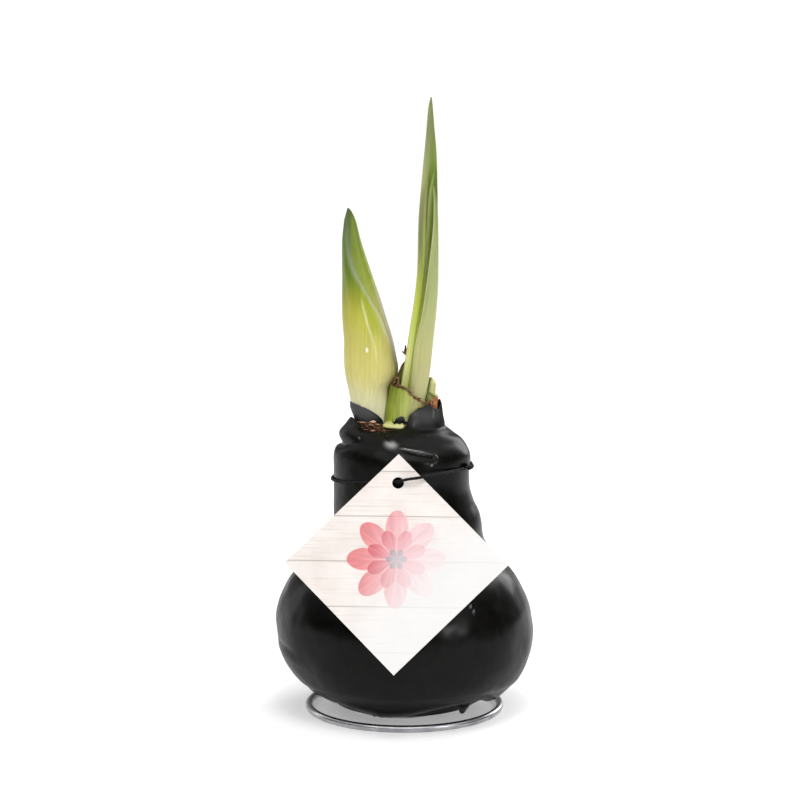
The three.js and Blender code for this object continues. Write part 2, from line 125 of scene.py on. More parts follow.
def value_of(rule, *where):
    """What a rule gives at a place, or the constant that stands for one."""
    return rule(*where) if callable(rule) else rule


def grain(*place):
    """Smooth noise from -1 to 1 that is the same in each run."""
    return noise.noise(Vector(place))


# ------------------------------------------------------------------ meshes and pieces

def skin(name, rings, closed=False, **painted):
    """A closed mesh over rings of points in millimetres. The last ring joins the first where closed,
    and otherwise each end is zipped shut across. painted holds, by name, one number for all points or
    one for each."""
    count = len(rings[0])
    faces = []
    for i in range(len(rings) - (0 if closed else 1)):
        low, high = i * count, (i + 1) % len(rings) * count
        for j in range(count):
            k = (j + 1) % count
            faces.append((low + j, low + k, high + k, high + j))
    if not closed:
        top = (len(rings) - 1) * count
        for j in range(count // 2 - 1):
            four = j, j + 1, count - 2 - j, count - 1 - j
            faces += [four[::-1], tuple(top + k for k in four)]
    mesh = bpy.data.meshes.new(name)
    mesh.from_pydata([frame_point(*point) for ring in rings for point in ring], [], faces)
    for label, values in painted.items():
        each = np.broadcast_to(np.asarray(values, dtype=np.float32), len(rings) * count)
        mesh.attributes.new(label, "FLOAT", "POINT").data.foreach_set("value", each.ravel())
    tidy_normals(mesh)
    return mesh


def tidy_normals(mesh):
    """All faces look outwards, and are shaded smooth."""
    shape = bmesh.new()
    shape.from_mesh(mesh)
    bmesh.ops.recalc_face_normals(shape, faces=shape.faces)
    shape.to_mesh(mesh)
    shape.free()
    mesh.shade_smooth()


def join_meshes(name, *meshes):
    """One mesh of several that carry the same painted numbers."""
    joined = bmesh.new()
    for mesh in meshes:
        joined.from_mesh(mesh)
    whole = bpy.data.meshes.new(name)
    joined.to_mesh(whole)
    joined.free()
    whole.shade_smooth()
    return whole


def piece(name, mesh, slot, *nodes, finish=None):
    """An object that rides on the bulb and stands for CAD nodes. slot is not used."""
    thing = bpy.data.objects.new(name, mesh)
    bpy.context.scene.collection.objects.link(thing)
    if finish:
        mesh.materials.append(finish)
    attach(thing, "root")
    if nodes:
        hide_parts(*nodes)


def grown(tree, curve, **inputs):
    """The plain mesh that a geometry nodes tree grows on a curve."""
    thing = bpy.data.objects.new("grown", curve)
    bpy.context.scene.collection.objects.link(thing)
    modifier = thing.modifiers.new("grown", "NODES")
    modifier.node_group = tree
    sockets = {s.name: s.identifier for s in tree.interface.items_tree if s.in_out == "INPUT"}
    for label, value in inputs.items():
        modifier[sockets[label]] = value
    bpy.context.view_layer.update()
    mesh = bpy.data.meshes.new_from_object(thing.evaluated_get(bpy.context.evaluated_depsgraph_get()))
    bpy.data.objects.remove(thing)
    return mesh


def path_curve(points, closed=False):
    """A curve through points in millimetres."""
    curve = bpy.data.curves.new("path", "CURVE")
    curve.dimensions = "3D"
    line = curve.splines.new("POLY")
    line.points.add(len(points) - 1)
    for point, place in zip(line.points, points):
        point.co = (*frame_point(*place), 1)
    line.use_cyclic_u = closed
    return curve


# ------------------------------------------------------------------ node trees

class Graph:
    """Short ways to add nodes to one tree. An input is a socket, to join, or a constant."""

    def __init__(self, tree):
        self.tree = tree

    def add(self, kind, inputs=None, output=0, **settings):
        node = self.tree.nodes.new(kind)
        for label, value in settings.items():
            setattr(node, label, value)
        for label, value in (inputs or {}).items():
            self.feed(node.inputs[label], value)
        return node.outputs[output]

    def feed(self, socket, value):
        if isinstance(value, bpy.types.NodeSocket):
            self.tree.links.new(value, socket)
        else:
            socket.default_value = value

    def math(self, operation, *values):
        return self.add("ShaderNodeMath", dict(enumerate(values)), operation=operation)

    def times(self, *values):
        return self.math("MULTIPLY", *values)

    def plus(self, *values):
        return self.math("ADD", *values)

    def minus(self, *values):
        return self.math("SUBTRACT", *values)

    def vector(self, operation, *values):
        return self.add("ShaderNodeVectorMath", dict(enumerate(values)), operation=operation)

    def remap(self, value, low, high, to_low=0.0, to_high=1.0, soft=False):
        inputs = {0: value, 1: low, 2: high, 3: to_low, 4: to_high}
        kind = "SMOOTHSTEP" if soft else "LINEAR"
        return self.add("ShaderNodeMapRange", inputs, interpolation_type=kind)


def colour(text):
    """The linear colour of an sRGB one written as #rrggbb."""
    parts = [int(text[i:i + 2], 16) / 255 for i in (1, 3, 5)]
    return (*((c / 12.92 if c <= 0.04045 else ((c + 0.055) / 1.055) ** 2.4) for c in parts), 1)


class Finish(Graph):
    """A material on the Principled shader."""

    def __init__(self, name, **constants):
        self.material = bpy.data.materials.new(name)
        self.material.use_nodes = True
        super().__init__(self.material.node_tree)
        self.shader = self.tree.nodes["Principled BSDF"]
        self.place = self.add("ShaderNodeTexCoord", output="Object")
        for label, value in constants.items():
            self.set(label.replace("_", " "), value)

    def set(self, label, value):
        self.feed(self.shader.inputs[label], value)

    def painted(self, label):
        return self.add("ShaderNodeAttribute", output="Fac", attribute_name=label)

    def noise(self, scale, detail, roughness=0.5, where=None):
        """Grains of noise, so many a metre, or a number of them for each direction. They are laid out
        over the piece, unless where gives other places."""
        inputs = {"Vector": where or self.place, "Scale": scale, "Detail": detail, "Roughness": roughness}
        if isinstance(scale, tuple):
            stretched = {"Vector": inputs["Vector"], "Scale": scale}
            inputs.update({"Vector": self.add("ShaderNodeMapping", stretched), "Scale": 1.0})
        return self.add("ShaderNodeTexNoise", inputs)

    def ramp(self, factor, *stops):
        output = self.add("ShaderNodeValToRGB", {0: factor})
        band = output.node.color_ramp
        for k, (place, shade) in enumerate(stops):
            stop = band.elements[k] if k < 2 else band.elements.new(place)
            stop.position = place
            stop.color = colour(shade)
        return output

    def mix(self, factor, base, other, blend="MIX"):
        base, other = (colour(c) if isinstance(c, str) else c for c in (base, other))
        inputs = {0: factor, 6: base, 7: other}
        return self.add("ShaderNodeMix", inputs, 2, data_type="RGBA", blend_type=blend)

    def shaded(self, body, value, low, high, dark, light):
        """A colour made darker where a value is low and lighter where it is high."""
        return self.mix(1.0, body, self.remap(value, low, high, dark, light), "MULTIPLY")

    def coated(self, body, *layers):
        """The finished material: its colour, and its bumps, each a height from 0 to 1 and how deep it
        is, in millimetres."""
        self.set("Base Color", body)
        normal = None
        for height, depth in layers:
            inputs = {"Height": height, "Distance": depth * MM, "Strength": 1.0}
            if normal:
                inputs["Normal"] = normal
            normal = self.add("ShaderNodeBump", inputs)
        self.set("Normal", normal)
        return self.material


# ------------------------------------------------------------------ finishes

def black_wax(name, sheen, softness):
    """Dipped black wax, a little cloudy, under a sheen, and painted grey where it is dusty and where
    highlights, sheen and glints are painted on.
    """
    wax = Finish(name, Specular_IOR_Level=0.03, Coat_Weight=sheen, Coat_Roughness=softness, Coat_IOR=1.5)
    cloud, fine, peel = wax.noise(60, 3), wax.noise(420, 3, 0.6), wax.noise(1500, 2)
    bloom = wax.remap(wax.times(cloud, fine), 0.22, 0.36, soft=True)
    # painted grey: some dust, and painted highlights, sheen and glints
    body = wax.mix(wax.painted("dust"), wax.mix(bloom, "#040403", "#0a0908"), "#868787")
    wax.set("Roughness", wax.remap(cloud, 0.35, 0.65, 0.3, 0.42))
    return wax.coated(body, (cloud, 0.25), (fine, 0.04), (peel, 0.005))


def fresh_tissue(name, roughness, mirroring, glow, redness=0.003):
    """A finish that light goes into a little way. redness is how far red light goes, in metres."""
    return Finish(
        name, Roughness=roughness, Specular_IOR_Level=mirroring, Subsurface_Weight=glow,
        Subsurface_Radius=(redness, 0.003, 0.001), Subsurface_Scale=0.4,
    )


def spathe():
    """The bud's skin: green at the tip, yellow in the middle and cream at the foot, finely veined, with
    painted shade on its lower right and a painted sheen along the bract's edge and down its left.
    """
    bud = fresh_tissue("bud_spathe", 0.42, 0.28, 0.08, redness=0.004)
    cloud, veins = bud.noise((120, 120, 30), 3), bud.noise((1500, 1500, 18), 2)
    z = bud.add("ShaderNodeSeparateXYZ", {0: bud.place}, output="Z")
    up = bud.plus(bud.remap(z, 96 * MM, 178 * MM), bud.remap(cloud, 0.3, 0.7, -0.02, 0.02))
    body = bud.ramp(
        up, (0.08, "#d3ceb4"), (0.18, "#cdc99b"), (0.29, "#c9c072"), (0.41, "#bcb55f"), (0.53, "#aba943"),
        (0.61, "#8f912c"), (0.66, "#788723"), (0.74, "#697c12"), (0.84, "#4f6617"), (0.97, "#3c4810"),
    )
    inner = [(0.2, "#84782a"), (0.42, "#8f872f"), (0.6, "#94973c"), (0.72, "#7c8a30"), (1.0, "#62722a")]
    for label, shade in (
        ("under", bud.ramp(up, *inner)),
        ("tan", bud.ramp(up, (0.2, "#aa9a72"), (0.5, "#7e6f40"), (0.75, "#636221"))),
        # the dark brown-olive is painted shade, and the edge colour is partly a painted sheen
        ("deep", "#4f6a16"), ("lime", "#8f9c26"), ("painted_shade", "#3f3526"), ("lilac", "#a39e99"),
        ("edge", bud.ramp(up, (0.45, "#b3b2a4"), (0.65, "#979d80"), (0.9, "#5f6d4a"))),
        ("streak", "#d9d8a4"), ("white_speck", "#fbf8f1"),
    ):
        body = bud.mix(bud.painted(label), body, shade)
    return bud.coated(bud.shaded(body, veins, 0.35, 0.65, 0.92, 1.06), (veins, 0.05), (cloud, 0.1))


def leaf_finish(name, outside, inside, deep, margin):
    """A leaf: colours up its outside, its inside and its channel, whose darker green is partly painted
    shade, fine veins, and a pale margin.
    """
    leaf = fresh_tissue(name, 0.42, 0.28, 0.1)
    across, up = leaf.painted("across"), leaf.painted("up")
    cloud = leaf.noise((150, 150, 25), 3)
    veins = leaf.noise((14, 5, 1), 3, where=leaf.add("ShaderNodeCombineXYZ", {0: across, 1: up}))
    run = leaf.plus(up, leaf.remap(cloud, 0.3, 0.7, -0.06, 0.06))
    lit = leaf.mix(leaf.painted("rolled"), leaf.ramp(run, *inside), "#9aa172")
    # the channel's darker green is partly the leaf's own and partly painted shade in its hollow
    channel = leaf.mix(leaf.painted("channel"), lit, leaf.ramp(run, *deep))
    body = leaf.mix(leaf.painted("inside"), leaf.ramp(run, *outside), channel)
    body = leaf.shaded(body, veins, 0.3, 0.7, 0.82, 1.14)
    rim = leaf.remap(leaf.math("ABSOLUTE", across), 0.88, 0.97, 0, 0.6, soft=True)
    return leaf.coated(leaf.mix(rim, body, margin), (veins, 0.06), (cloud, 0.08))


def cut_leaf():
    """The green base of an old leaf: ribbed, in flat facets of lighter and duller green, with a few
    red-brown specks, a pale foot and a dried cut rim."""
    green = fresh_tissue("cut_leaf", 0.45, 0.35, 0.06)
    cloud, ribs = green.noise((170, 170, 60), 3), green.noise((900, 900, 22), 3)
    specks = green.add("ShaderNodeTexVoronoi", {"Vector": green.place, "Scale": 300.0})
    body = green.ramp(
        green.painted("facet"), (0.0, "#758325"), (0.2, "#8e9b34"), (0.42, "#a2aa57"), (0.58, "#9c9a68"),
        (0.7, "#888547"), (0.85, "#666327"), (1.0, "#53511a"),
    )
    body = green.shaded(body, cloud, 0.3, 0.7, 0.85, 1.15)
    body = green.shaded(body, ribs, 0.3, 0.7, 0.78, 1.2)
    body = green.mix(green.painted("pale"), body, "#c9c58c")
    body = green.mix(green.painted("shadow"), body, "#6c7d24")
    body = green.mix(green.remap(specks, 0.08, 0.13, 0.8, 0), body, "#7c4f27")
    crust = green.mix(green.remap(ribs, 0.35, 0.65), "#27130b", "#683c23")
    crust = green.mix(green.painted("torn"), crust, "#9c7650")
    return green.coated(green.mix(green.painted("dried"), body, crust), (ribs, 0.12), (cloud, 0.1))


def dry_paper(name, dark, middle, light):
    """Dead papery tissue: brown, fibrous along its length and dull, bleached where it is torn."""
    paper = Finish(name, Roughness=0.78, Specular_IOR_Level=0.25)
    fibres, patches = paper.noise((1300, 1300, 160), 4, 0.6), paper.noise(380, 3)
    tone = paper.plus(paper.times(fibres, 0.6), paper.times(patches, 0.4))
    body = paper.ramp(tone, (0.36, dark), (0.5, middle), (0.64, light))
    torn = paper.mix(paper.remap(fibres, 0.35, 0.65), "#a9743f", "#cfb39f")
    return paper.coated(paper.mix(paper.painted("torn"), body, torn), (fibres, 0.1), (patches, 0.15))


def card_stock():
    """The tag's back and cut edges: white card with a faint fibre."""
    card = Finish("card_stock", Roughness=0.62, Specular_IOR_Level=0.35)
    fibre = card.noise((900, 300, 900), 4)
    return card.coated(card.mix(card.remap(fibre, 0.35, 0.65), "#d2cfca", "#dcdad6"), (fibre, 0.01))


def black_elastic():
    elastic = Finish("black_elastic", Roughness=0.55, Specular_IOR_Level=0.15, Sheen_Weight=0.04)
    fluff = elastic.noise(2600, 3)
    return elastic.coated(elastic.mix(fluff, "#060606", "#111112"), (fluff, 0.03))


def bright_wire():
    """Plated steel wire: bright, with drawing lines and a few dull spots."""
    wire = Finish("bright_wire", Metallic=1.0)
    drawn, dull = wire.noise((300, 300, 4000), 2), wire.noise(160, 3)
    wire.set("Roughness", wire.remap(dull, 0.35, 0.7, 0.26, 0.42))
    return wire.coated(wire.mix(wire.remap(dull, 0.4, 0.7), "#b4b4b7", "#959598"), (drawn, 0.004))


WAX = black_wax("black_wax", 0.2, 0.26)
GLOSSY_WAX = black_wax("glossy_wax", 0.6, 0.1)
BUD_SKIN = spathe()
TALL_LEAF = leaf_finish(
    "tall_leaf",
    [(0.0, "#c3c97c"), (0.3, "#b0ba68"), (0.6, "#909d50"), (1.0, "#767f4e")],
    # the lowest stops of the inside and the channel are painted light for the cleft beside the bud
    [(0.0, "#f4f7a4"), (0.28, "#fbfcaa"), (0.38, "#eaf491"), (0.46, "#e0ea67"), (0.58, "#b6b972"),
     (0.69, "#89935f"), (0.8, "#7c7f55"), (1.0, "#8a9166")],
    [(0.0, "#e2e262"), (0.3, "#cbcd48"), (0.38, "#828d1c"), (0.48, "#667110"), (0.6, "#6c7d24"),
     (0.72, "#73853b"), (0.85, "#767f4e"), (1.0, "#7c8458")],
    "#a99c78",
)
INNER_LEAF = leaf_finish(
    "inner_leaf",
    [(0.0, "#a9b450"), (0.5, "#8b9a3a"), (1.0, "#6e8038")],
    [(0.0, "#ecf07c"), (0.3, "#c4cf4c"), (0.43, "#87931d"), (0.57, "#6f8217"), (0.75, "#6e822d"),
     (1.0, "#7d9441")],
    [(0.0, "#c4cc50"), (0.3, "#8e9a23"), (0.45, "#626d10"), (0.6, "#5a6a18"), (1.0, "#5c7030")],
    "#8d9850",
)
FRONT_OUTSIDE = [(0.0, "#b6b183"), (0.3, "#b0ae76"), (0.5, "#a3a971"), (0.75, "#8f9a61"), (1.0, "#6c7838")]
FRONT_INSIDE = [(0.0, "#ccd464"), (0.3, "#b4bd4c"), (0.5, "#8a9530"), (1.0, "#69792c")]
FRONT_LEAF = leaf_finish("front_leaf", FRONT_OUTSIDE, FRONT_INSIDE, FRONT_INSIDE, "#b9be98")
CUT_LEAF = cut_leaf()
TUNIC_BROWN = dry_paper("tunic_brown", "#170d08", "#412718", "#7c532b")
SCALE_BROWN = dry_paper("scale_brown", "#3c2216", "#8f5630", "#c4905f")
WITHERED = dry_paper("withered", "#20130c", "#4a2d1c", "#7c5630")
CARD = card_stock()
ELASTIC = black_elastic()
WIRE_METAL = bright_wire()


# ------------------------------------------------------------------ wax coat

# From the hole in its underside, round the lip at its foot and up to the neck: height, half width,
# half depth, shift to the right, share of the rim's rise, share of the lip's wave.
COAT = [
    (2.8, 4.2, 4.2, 0.0, 0, 0), (2.8, 14.0, 14.0, 0.0, 0, 0), (2.8, 23.4, 23.4, 0.1, 0, 0),
    (3.6, 25.6, 25.6, 0.3, 0, 0.25), (4.5, 27.6, 27.6, 0.5, 0, 0.75), (4.2, 29.6, 29.6, 0.8, 0, 1),
    (5.0, 31.7, 31.7, 0.9, 0, 0.85), (6.7, 33.9, 33.9, 1.0, 0, 0.5), (9.9, 36.9, 36.9, 1.1, 0, 0.2),
    (13.6, 40.5, 40.5, 1.0, 0, 0.05), (20.6, 43.9, 43.9, 0.4, 0, 0), (27.6, 45.0, 45.0, 0.2, 0, 0),
    (35.2, 44.5, 44.5, -0.3, 0, 0), (42.2, 42.1, 42.1, -0.5, 0, 0), (48.6, 38.6, 38.4, -0.4, 0, 0),
    (54.0, 32.6, 32.2, 0.0, 0, 0), (60.0, 27.8, 27.2, 0.3, 0, 0), (66.8, 25.8, 25.2, 0.8, 0, 0),
    (74.4, 24.5, 23.4, -0.4, 0, 0), (82.0, 23.8, 22.4, -1.0, 0, 0), (89.5, 23.8, 21.9, -0.8, 0, 0),
    (93.6, 22.9, 20.6, -1.0, 0, 0), (96.6, 21.0, 17.8, -1.6, 0, 0), (99.3, 19.2, 14.4, -3.0, 0, 0),
    (101.2, 17.4, 11.4, -3.2, 0.25, 0), (102.3, 16.0, 9.2, -2.9, 1, 0), (102.0, 15.0, 8.2, -2.8, 1, 0),
]
COAT_INSIDE = [
    (99.6, 14.9, 8.1, -2.8, 0.3, 0), (90.0, 21.6, 19.6, -1.0, 0, 0), (66.8, 23.7, 23.1, 0.8, 0, 0),
    (54.0, 30.8, 30.4, 0.0, 0, 0), (42.2, 40.0, 40.0, -0.5, 0, 0), (27.6, 42.9, 42.9, 0.2, 0, 0),
    (14.6, 38.6, 38.6, 1.0, 0, 0), (9.6, 33.4, 33.4, 0.8, 0, 0.5), (7.0, 29.0, 29.0, 0.5, 0, 0.9),
    (5.2, 23.0, 23.0, 0.1, 0, 0.2), (5.0, 4.2, 4.2, 0.0, 0, 0),
]
COAT_RINGS = 214
COAT_COLUMNS = 384

# The rim's usual height, its height every 10 degrees, and how far the lip stands above its usual height
# every 15 degrees.
RIM_LEVEL = 102.3
RIM_HEIGHT = [
    109.7, 109.0, 108.2, 107.4, 106.4, 105.6, 104.9, 104.1, 103.3, 102.9, 102.6, 102.4,
    102.3, 102.2, 102.5, 102.2, 102.4, 102.9, 103.5, 103.7, 103.6, 102.6, 101.4, 100.0,
    99.3, 99.3, 100.3, 100.7, 101.5, 105.6, 107.5, 107.9, 108.3, 107.1, 106.8, 108.4,
]
LIP_WAVE = [
    -0.8, -0.6, 0.2, 1.0, 0.8, 0.1, -0.4, -0.9, -1.0, -0.3, 0.6, 0.9,
    0.6, 1.5, 2.4, 2.1, 0.8, -0.3, 0.5, 2.1, 3.9, 4.1, 2.2, 0.0,
]

# Soft lumps and hollows: degrees from the front, height, half length, half width, tilt in degrees, and
# how far the wax stands out. The first is a blob.
WAX_LUMPS = [
    (-8.4, 96.1, 1.9, 1.5, 0, 1.2),
    (-88, 98.2, 7.0, 1.8, 0, 0.5),
    (-66, 100.4, 5.0, 1.6, -6, 0.5),
    (-72, 91.6, 7.0, 2.4, 0, 0.45),
    (-72, 82.0, 7.0, 3.0, 0, -0.2),
    (72, 91.0, 9.0, 3.2, 0, 0.55),
    (80, 79.0, 9.0, 3.4, 0, -0.4),
    (86, 69.5, 10.0, 3.6, 0, 0.6),
    (60, 60.0, 12.0, 4.0, 0, -0.3),
    (-56, 19.6, 9.0, 5.0, 20, -0.7),
    (-30, 14.0, 9.0, 4.0, 10, 0.35),
    (62, 25.8, 9.0, 6.5, -30, -0.5),
    (30, 16.0, 10.0, 4.0, -10, 0.35),
    (9.8, 39.1, 6.0, 4.5, 30, 0.3),
    (28, 30.0, 9.0, 6.0, 0, -0.25),
    (140, 96.5, 10.0, 1.4, 0, -0.7),
    (200, 95.0, 9.0, 3.0, 10, 0.6),
    (165, 60.0, 10.0, 6.0, 30, 0.6),
    (235, 30.0, 14.0, 7.0, -20, -0.6),
    (120, 40.0, 12.0, 9.0, 15, 0.5),
    (180, 22.0, 16.0, 6.0, 5, 0.4),
]
# Creases, ridges and drips: a width, how far the wax stands out, how polished it is, and places along
# the middle: degrees from the front, height, and the share of that at the place.
WAX_STROKES = [
    (0.6, -0.8, 0, [(-12.5, 101.2, 0.6), (-11.3, 100.2, 1), (-8.6, 98.0, 1), (-7.5, 96.6, 0.5)]),
    (0.45, 0.7, 1, [(-1.5, 95.7, 0.2), (3, 95.5, 0.9), (8.4, 95.1, 1), (17, 94.5, 1), (27, 93.6, 0.4)]),
    (0.8, -0.5, 0, [(0, 94.1, 0.5), (9, 93.6, 1), (18, 93.0, 1), (27, 92.2, 0.4)]),
    (0.3, 0.4, 0.9, [(26.6, 92.7, 0.6), (28.6, 93.6, 1), (30.5, 93.7, 1), (32.8, 92.7, 0.6)]),
    (1.15, -1.8, 0, [(-128, 95.4, 0.5), (-110, 95.0, 1), (-76, 95.3, 1), (-62, 96.1, 0.6), (-42, 96.8, 0.1)]),
    (1.0, -0.55, 0, [(20, 101.9, 0.3), (30, 101.3, 1), (60, 101.2, 1), (90, 101.0, 1), (120, 100.4, 0)]),
    (1.6, 0.5, 0, [(14, 99.2, 0.3), (30, 98.9, 1), (50, 98.3, 1), (90, 96.3, 0.7)]),
    (0.6, 0.35, 0, [(6, 104.0, 0.4), (16, 105.2, 1), (30, 105.6, 0.4)]),
    (0.6, -0.6, 0, [(-82, 26.6, 0.2), (-76, 26.1, 1), (-68, 26.2, 1), (-59, 25.5, 0.3)]),
    (1.8, 0.35, 0, [(-84, 23.6, 0.5), (-74, 23.2, 1), (-62, 22.8, 0.5)]),
    (0.7, -0.4, 0, [(150, 74.0, 1), (160, 71.0, 1), (172, 70.0, 1), (180, 71.5, 1)]),
    (1.0, 0.45, 0.4, [(215, 99.0, 1), (214, 92.0, 1), (212, 86.0, 1)]),
    (1.3, 0.4, 0.4, [(118, 100.0, 1), (119, 94.0, 1), (116, 90.5, 1)]),
]
# Crumbs that stick to it: degrees from the front, height, radius, and how grey they are painted; the two
# greyest, on the belly at the right, are painted glints.
WAX_CRUMBS = [
    (25.1, 90.3, 0.4, 0.9), (-41.3, 98.3, 0.36, 0.4), (33.6, 44.3, 0.42, 1.0), (34.6, 42.3, 0.42, 1.0),
    (-100, 70.0, 0.3, 0), (-61, 5.4, 0.5, 0.2), (-22, 4.2, 0.5, 0.1), (-9, 3.6, 0.4, 0.1),
]
# Painted sheen, greyish, at the right of the collar and on the left lobe: degrees from the front, height,
# half width, half height, and how grey.
WAX_SHEEN = [(48, 105.6, 6.5, 2.8, 0.17), (-72, 100.5, 5.0, 3.0, 0.07)]
# The drip under the lip: where it hangs, in degrees from the front, how broad it is, and height, distance
# from the axis and half thickness down its length.
LIP_DRIP_TURN = 45
LIP_DRIP_BROAD = 1.9  # times as wide as it is thick
LIP_DRIP = [
    (8.4, 29.6, 1.7), (6.6, 29.2, 1.6), (5.2, 28.8, 1.3), (4.2, 28.5, 0.9), (3.4, 28.4, 0.6),
    (2.9, 28.4, 0.1),
]


def rim_height(angle):
    return around(RIM_HEIGHT, angle / (2 * math.pi))


def coat_ring(row, ragged=0.0):
    """A ring of the coat from a row of its table. ragged is how uneven its rim and lip are."""
    z, wide, deep, shift, rise, wave = row
    ring = []
    for angle in circle(COAT_COLUMNS):
        c, s = math.cos(angle), math.sin(angle)
        lift = rise * (rim_height(angle) - RIM_LEVEL) + wave * around(LIP_WAVE, angle / (2 * math.pi))
        lift += ragged * rise * (grain(5 * c, 5 * s, 7.0) + 0.7 * grain(14 * c, 14 * s, 3.0))
        lift += ragged * wave * grain(11 * c, 11 * s, 5.0)
        x, y = shift + wide * c, deep * s
        hug = min(rise, 1) * clinging(math.degrees(angle))
        if hug:
            x, y = hugged(x, y, z + lift, hug, 0.1 + 0.55 * (wide - NECK_WIDE))
        ring.append((x, y, z + lift))
    return ring


def clinging(turn):
    """How far the rim clings to the shoots, at so many degrees."""
    if turn < 180:
        return 1 - ease(80, 112, turn)
    return ease(272, 287, turn) - ease(312, 330, turn) + ease(350, 360, turn)


def hugged(x, y, z, share, gap):
    """A place moved by a share of its way to the skin of the cut leaf bases."""
    middle = sheath_middle(z)
    turn = math.atan2(y / SHEATH_DEEP, (x - middle) / SHEATH_WIDE)
    start, end = STUB_ARC
    beside_stub = between(start - 7, start - 1, end + 1, end + 7, math.degrees(turn))
    out = gap + (STUB_CLEAR + STUB_THICK) * beside_stub
    near_x = middle + (SHEATH_WIDE + out) * math.cos(turn)
    near_y = (SHEATH_DEEP + out) * math.sin(turn)
    return x + share * (near_x - x), y + share * (near_y - y)


def raised(turns, heights, reach):
    """How far the wax stands out, how polished it is and how grey it is painted, with dust and with painted
    highlights and glints, at places given by their degrees from the front, heights and distances from the
    axis."""
    def away(turn, z):
        return np.radians((turns - turn + 180) % 360 - 180) * reach, heights - z

    total, polish, dust = (np.zeros_like(heights) for _ in range(3))
    for turn, z, long, wide, tilt, amount in WAX_LUMPS:
        across, up = away(turn, z)
        c, s = math.cos(math.radians(tilt)), math.sin(math.radians(tilt))
        total += amount * np.exp(-((across * c + up * s) / long) ** 2 - ((up * c - across * s) / wide) ** 2)
    for width, amount, gloss, places in WAX_STROKES:
        nearest = np.full_like(heights, 1e9)
        part = np.zeros_like(heights)
        for (turn, z, share), (next_turn, next_z, next_share) in zip(places, places[1:]):
            across, up = away(turn, z)
            run = np.radians(next_turn - turn) * reach
            rise = next_z - z
            t = np.clip((across * run + up * rise) / (run ** 2 + rise ** 2), 0, 1)
            distance = (across - t * run) ** 2 + (up - t * rise) ** 2
            part = np.where(distance < nearest, share + t * (next_share - share), part)
            nearest = np.minimum(nearest, distance)
        profile = part * np.exp(-nearest / width ** 2)
        total += amount * profile
        polish = np.maximum(polish, gloss * np.minimum(1.6 * profile, 1))
        # the most polished one has a painted highlight along its crest
        dust = np.maximum(dust, 0.6 * (gloss == 1) * profile ** 3)
    for turn, z, size, grey in WAX_CRUMBS:
        across, up = away(turn, z)
        profile = np.exp(-((across ** 2 + up ** 2) / size ** 2) ** 2)
        total += size * profile
        polish = np.maximum(polish, profile)
        dust = np.maximum(dust, grey * profile)
    for turn, z, wide, high, grey in WAX_SHEEN:
        across, up = away(turn, z)
        dust = np.maximum(dust, grey * np.exp(-(across / wide) ** 2 - (up / high) ** 2))
    # the blob's face is polished, and its top has a painted grey highlight
    across, up = away(*WAX_LUMPS[0][:2])
    polish = np.maximum(polish, np.exp(-(across / 1.9) ** 2 - ((up - 0.3) / 1.3) ** 2))
    dust = np.maximum(dust, np.exp(-((across / 1.7) ** 2 + ((up - 0.4) / 1.2) ** 2) ** 1.4))
    return total, polish, dust


def make_wax_coat():
    """The coat with its lumps and creases, and the drip and the flake that are one piece with it."""
    rings = [coat_ring(along(COAT, share), 0.3) for share in shares(COAT_RINGS)]
    outer = len(rings) * COAT_COLUMNS
    rings += [coat_ring(row) for row in COAT_INSIDE]
    x, y, z = np.array(rings).reshape(-1, 3).T
    turns = (np.arange(len(z)) % COAT_COLUMNS) / COAT_COLUMNS * 360 + 90  # from the front
    out, polish, dust = raised(turns, z, np.hypot(x, y))
    mesh = skin("wax_coat_fine", rings, closed=True, polish=polish, dust=dust)
    points = np.empty(len(z) * 3)
    normals = np.empty(len(z) * 3)
    mesh.vertices.foreach_get("co", points)
    mesh.vertex_normals.foreach_get("vector", normals)
    points, normals = points.reshape(-1, 3), normals.reshape(-1, 3)
    for k, place in enumerate(zip(x[:outer], y[:outer], z[:outer])):
        sway = 0.42 * grain(*(c / 15 for c in place)) + 0.13 * grain(*(c / 5 + 9 for c in place))
        out[k] += sway * ease(3.5, 12, place[2])
    points[:outer] += normals[:outer] * out[:outer, None] * MM
    mesh.vertices.foreach_set("co", points.ravel())
    mesh.update()
    joined = join_meshes("wax_coat_fine", mesh, make_lip_drip(), make_flake())
    piece("wax_coat_fine", joined, "wax", "wax_coat", finish=WAX)
    joined.materials.append(GLOSSY_WAX)
    shine = joined.attributes["polish"].data
    for face in joined.polygons:
        face.material_index = int(sum(shine[k].value for k in face.vertices) > 0.5 * len(face.vertices))


def make_lip_drip():
    turn = math.radians(LIP_DRIP_TURN)
    c, s = math.cos(turn), math.sin(turn)
    rings = []
    for share in shares(18):
        z, reach, half = along(LIP_DRIP, share)
        ring = []
        for angle in circle(20):
            side, out = LIP_DRIP_BROAD * half * math.cos(angle), reach + half * math.sin(angle)
            ring.append((out * s + side * c, side * s - out * c, z))
        rings.append(ring)
    return skin("lip_drip", rings, polish=0.6, dust=0.0)


def make_flake():
    """A flake of wax that has stuck to the front of the cut leaf base."""
    def rim(angle):
        turn = math.degrees(angle)
        tongue = 2.0 * between(232, 250, 256, 269, turn) + 1.2 * ease(268, 286, turn)
        return 102.9 + tongue + 0.9 * grain(angle * 14, 5.0, 0.0)

    return wall(
        "flake", spread(231, 293, 72), 10, lambda angle: 102.5 + 0.7 * grain(angle * 9, 2.0, 0.0), rim,
        lambda angle, z: sheath_place(angle, z, 0.4), lambda angle, z: sheath_place(angle, z, 0.1),
        # greyer towards its top
        polish=0.2, dust=lambda angle, z, high: 0.14 * ease(103, 104.5, z),
    )


# ------------------------------------------------------------------ bud

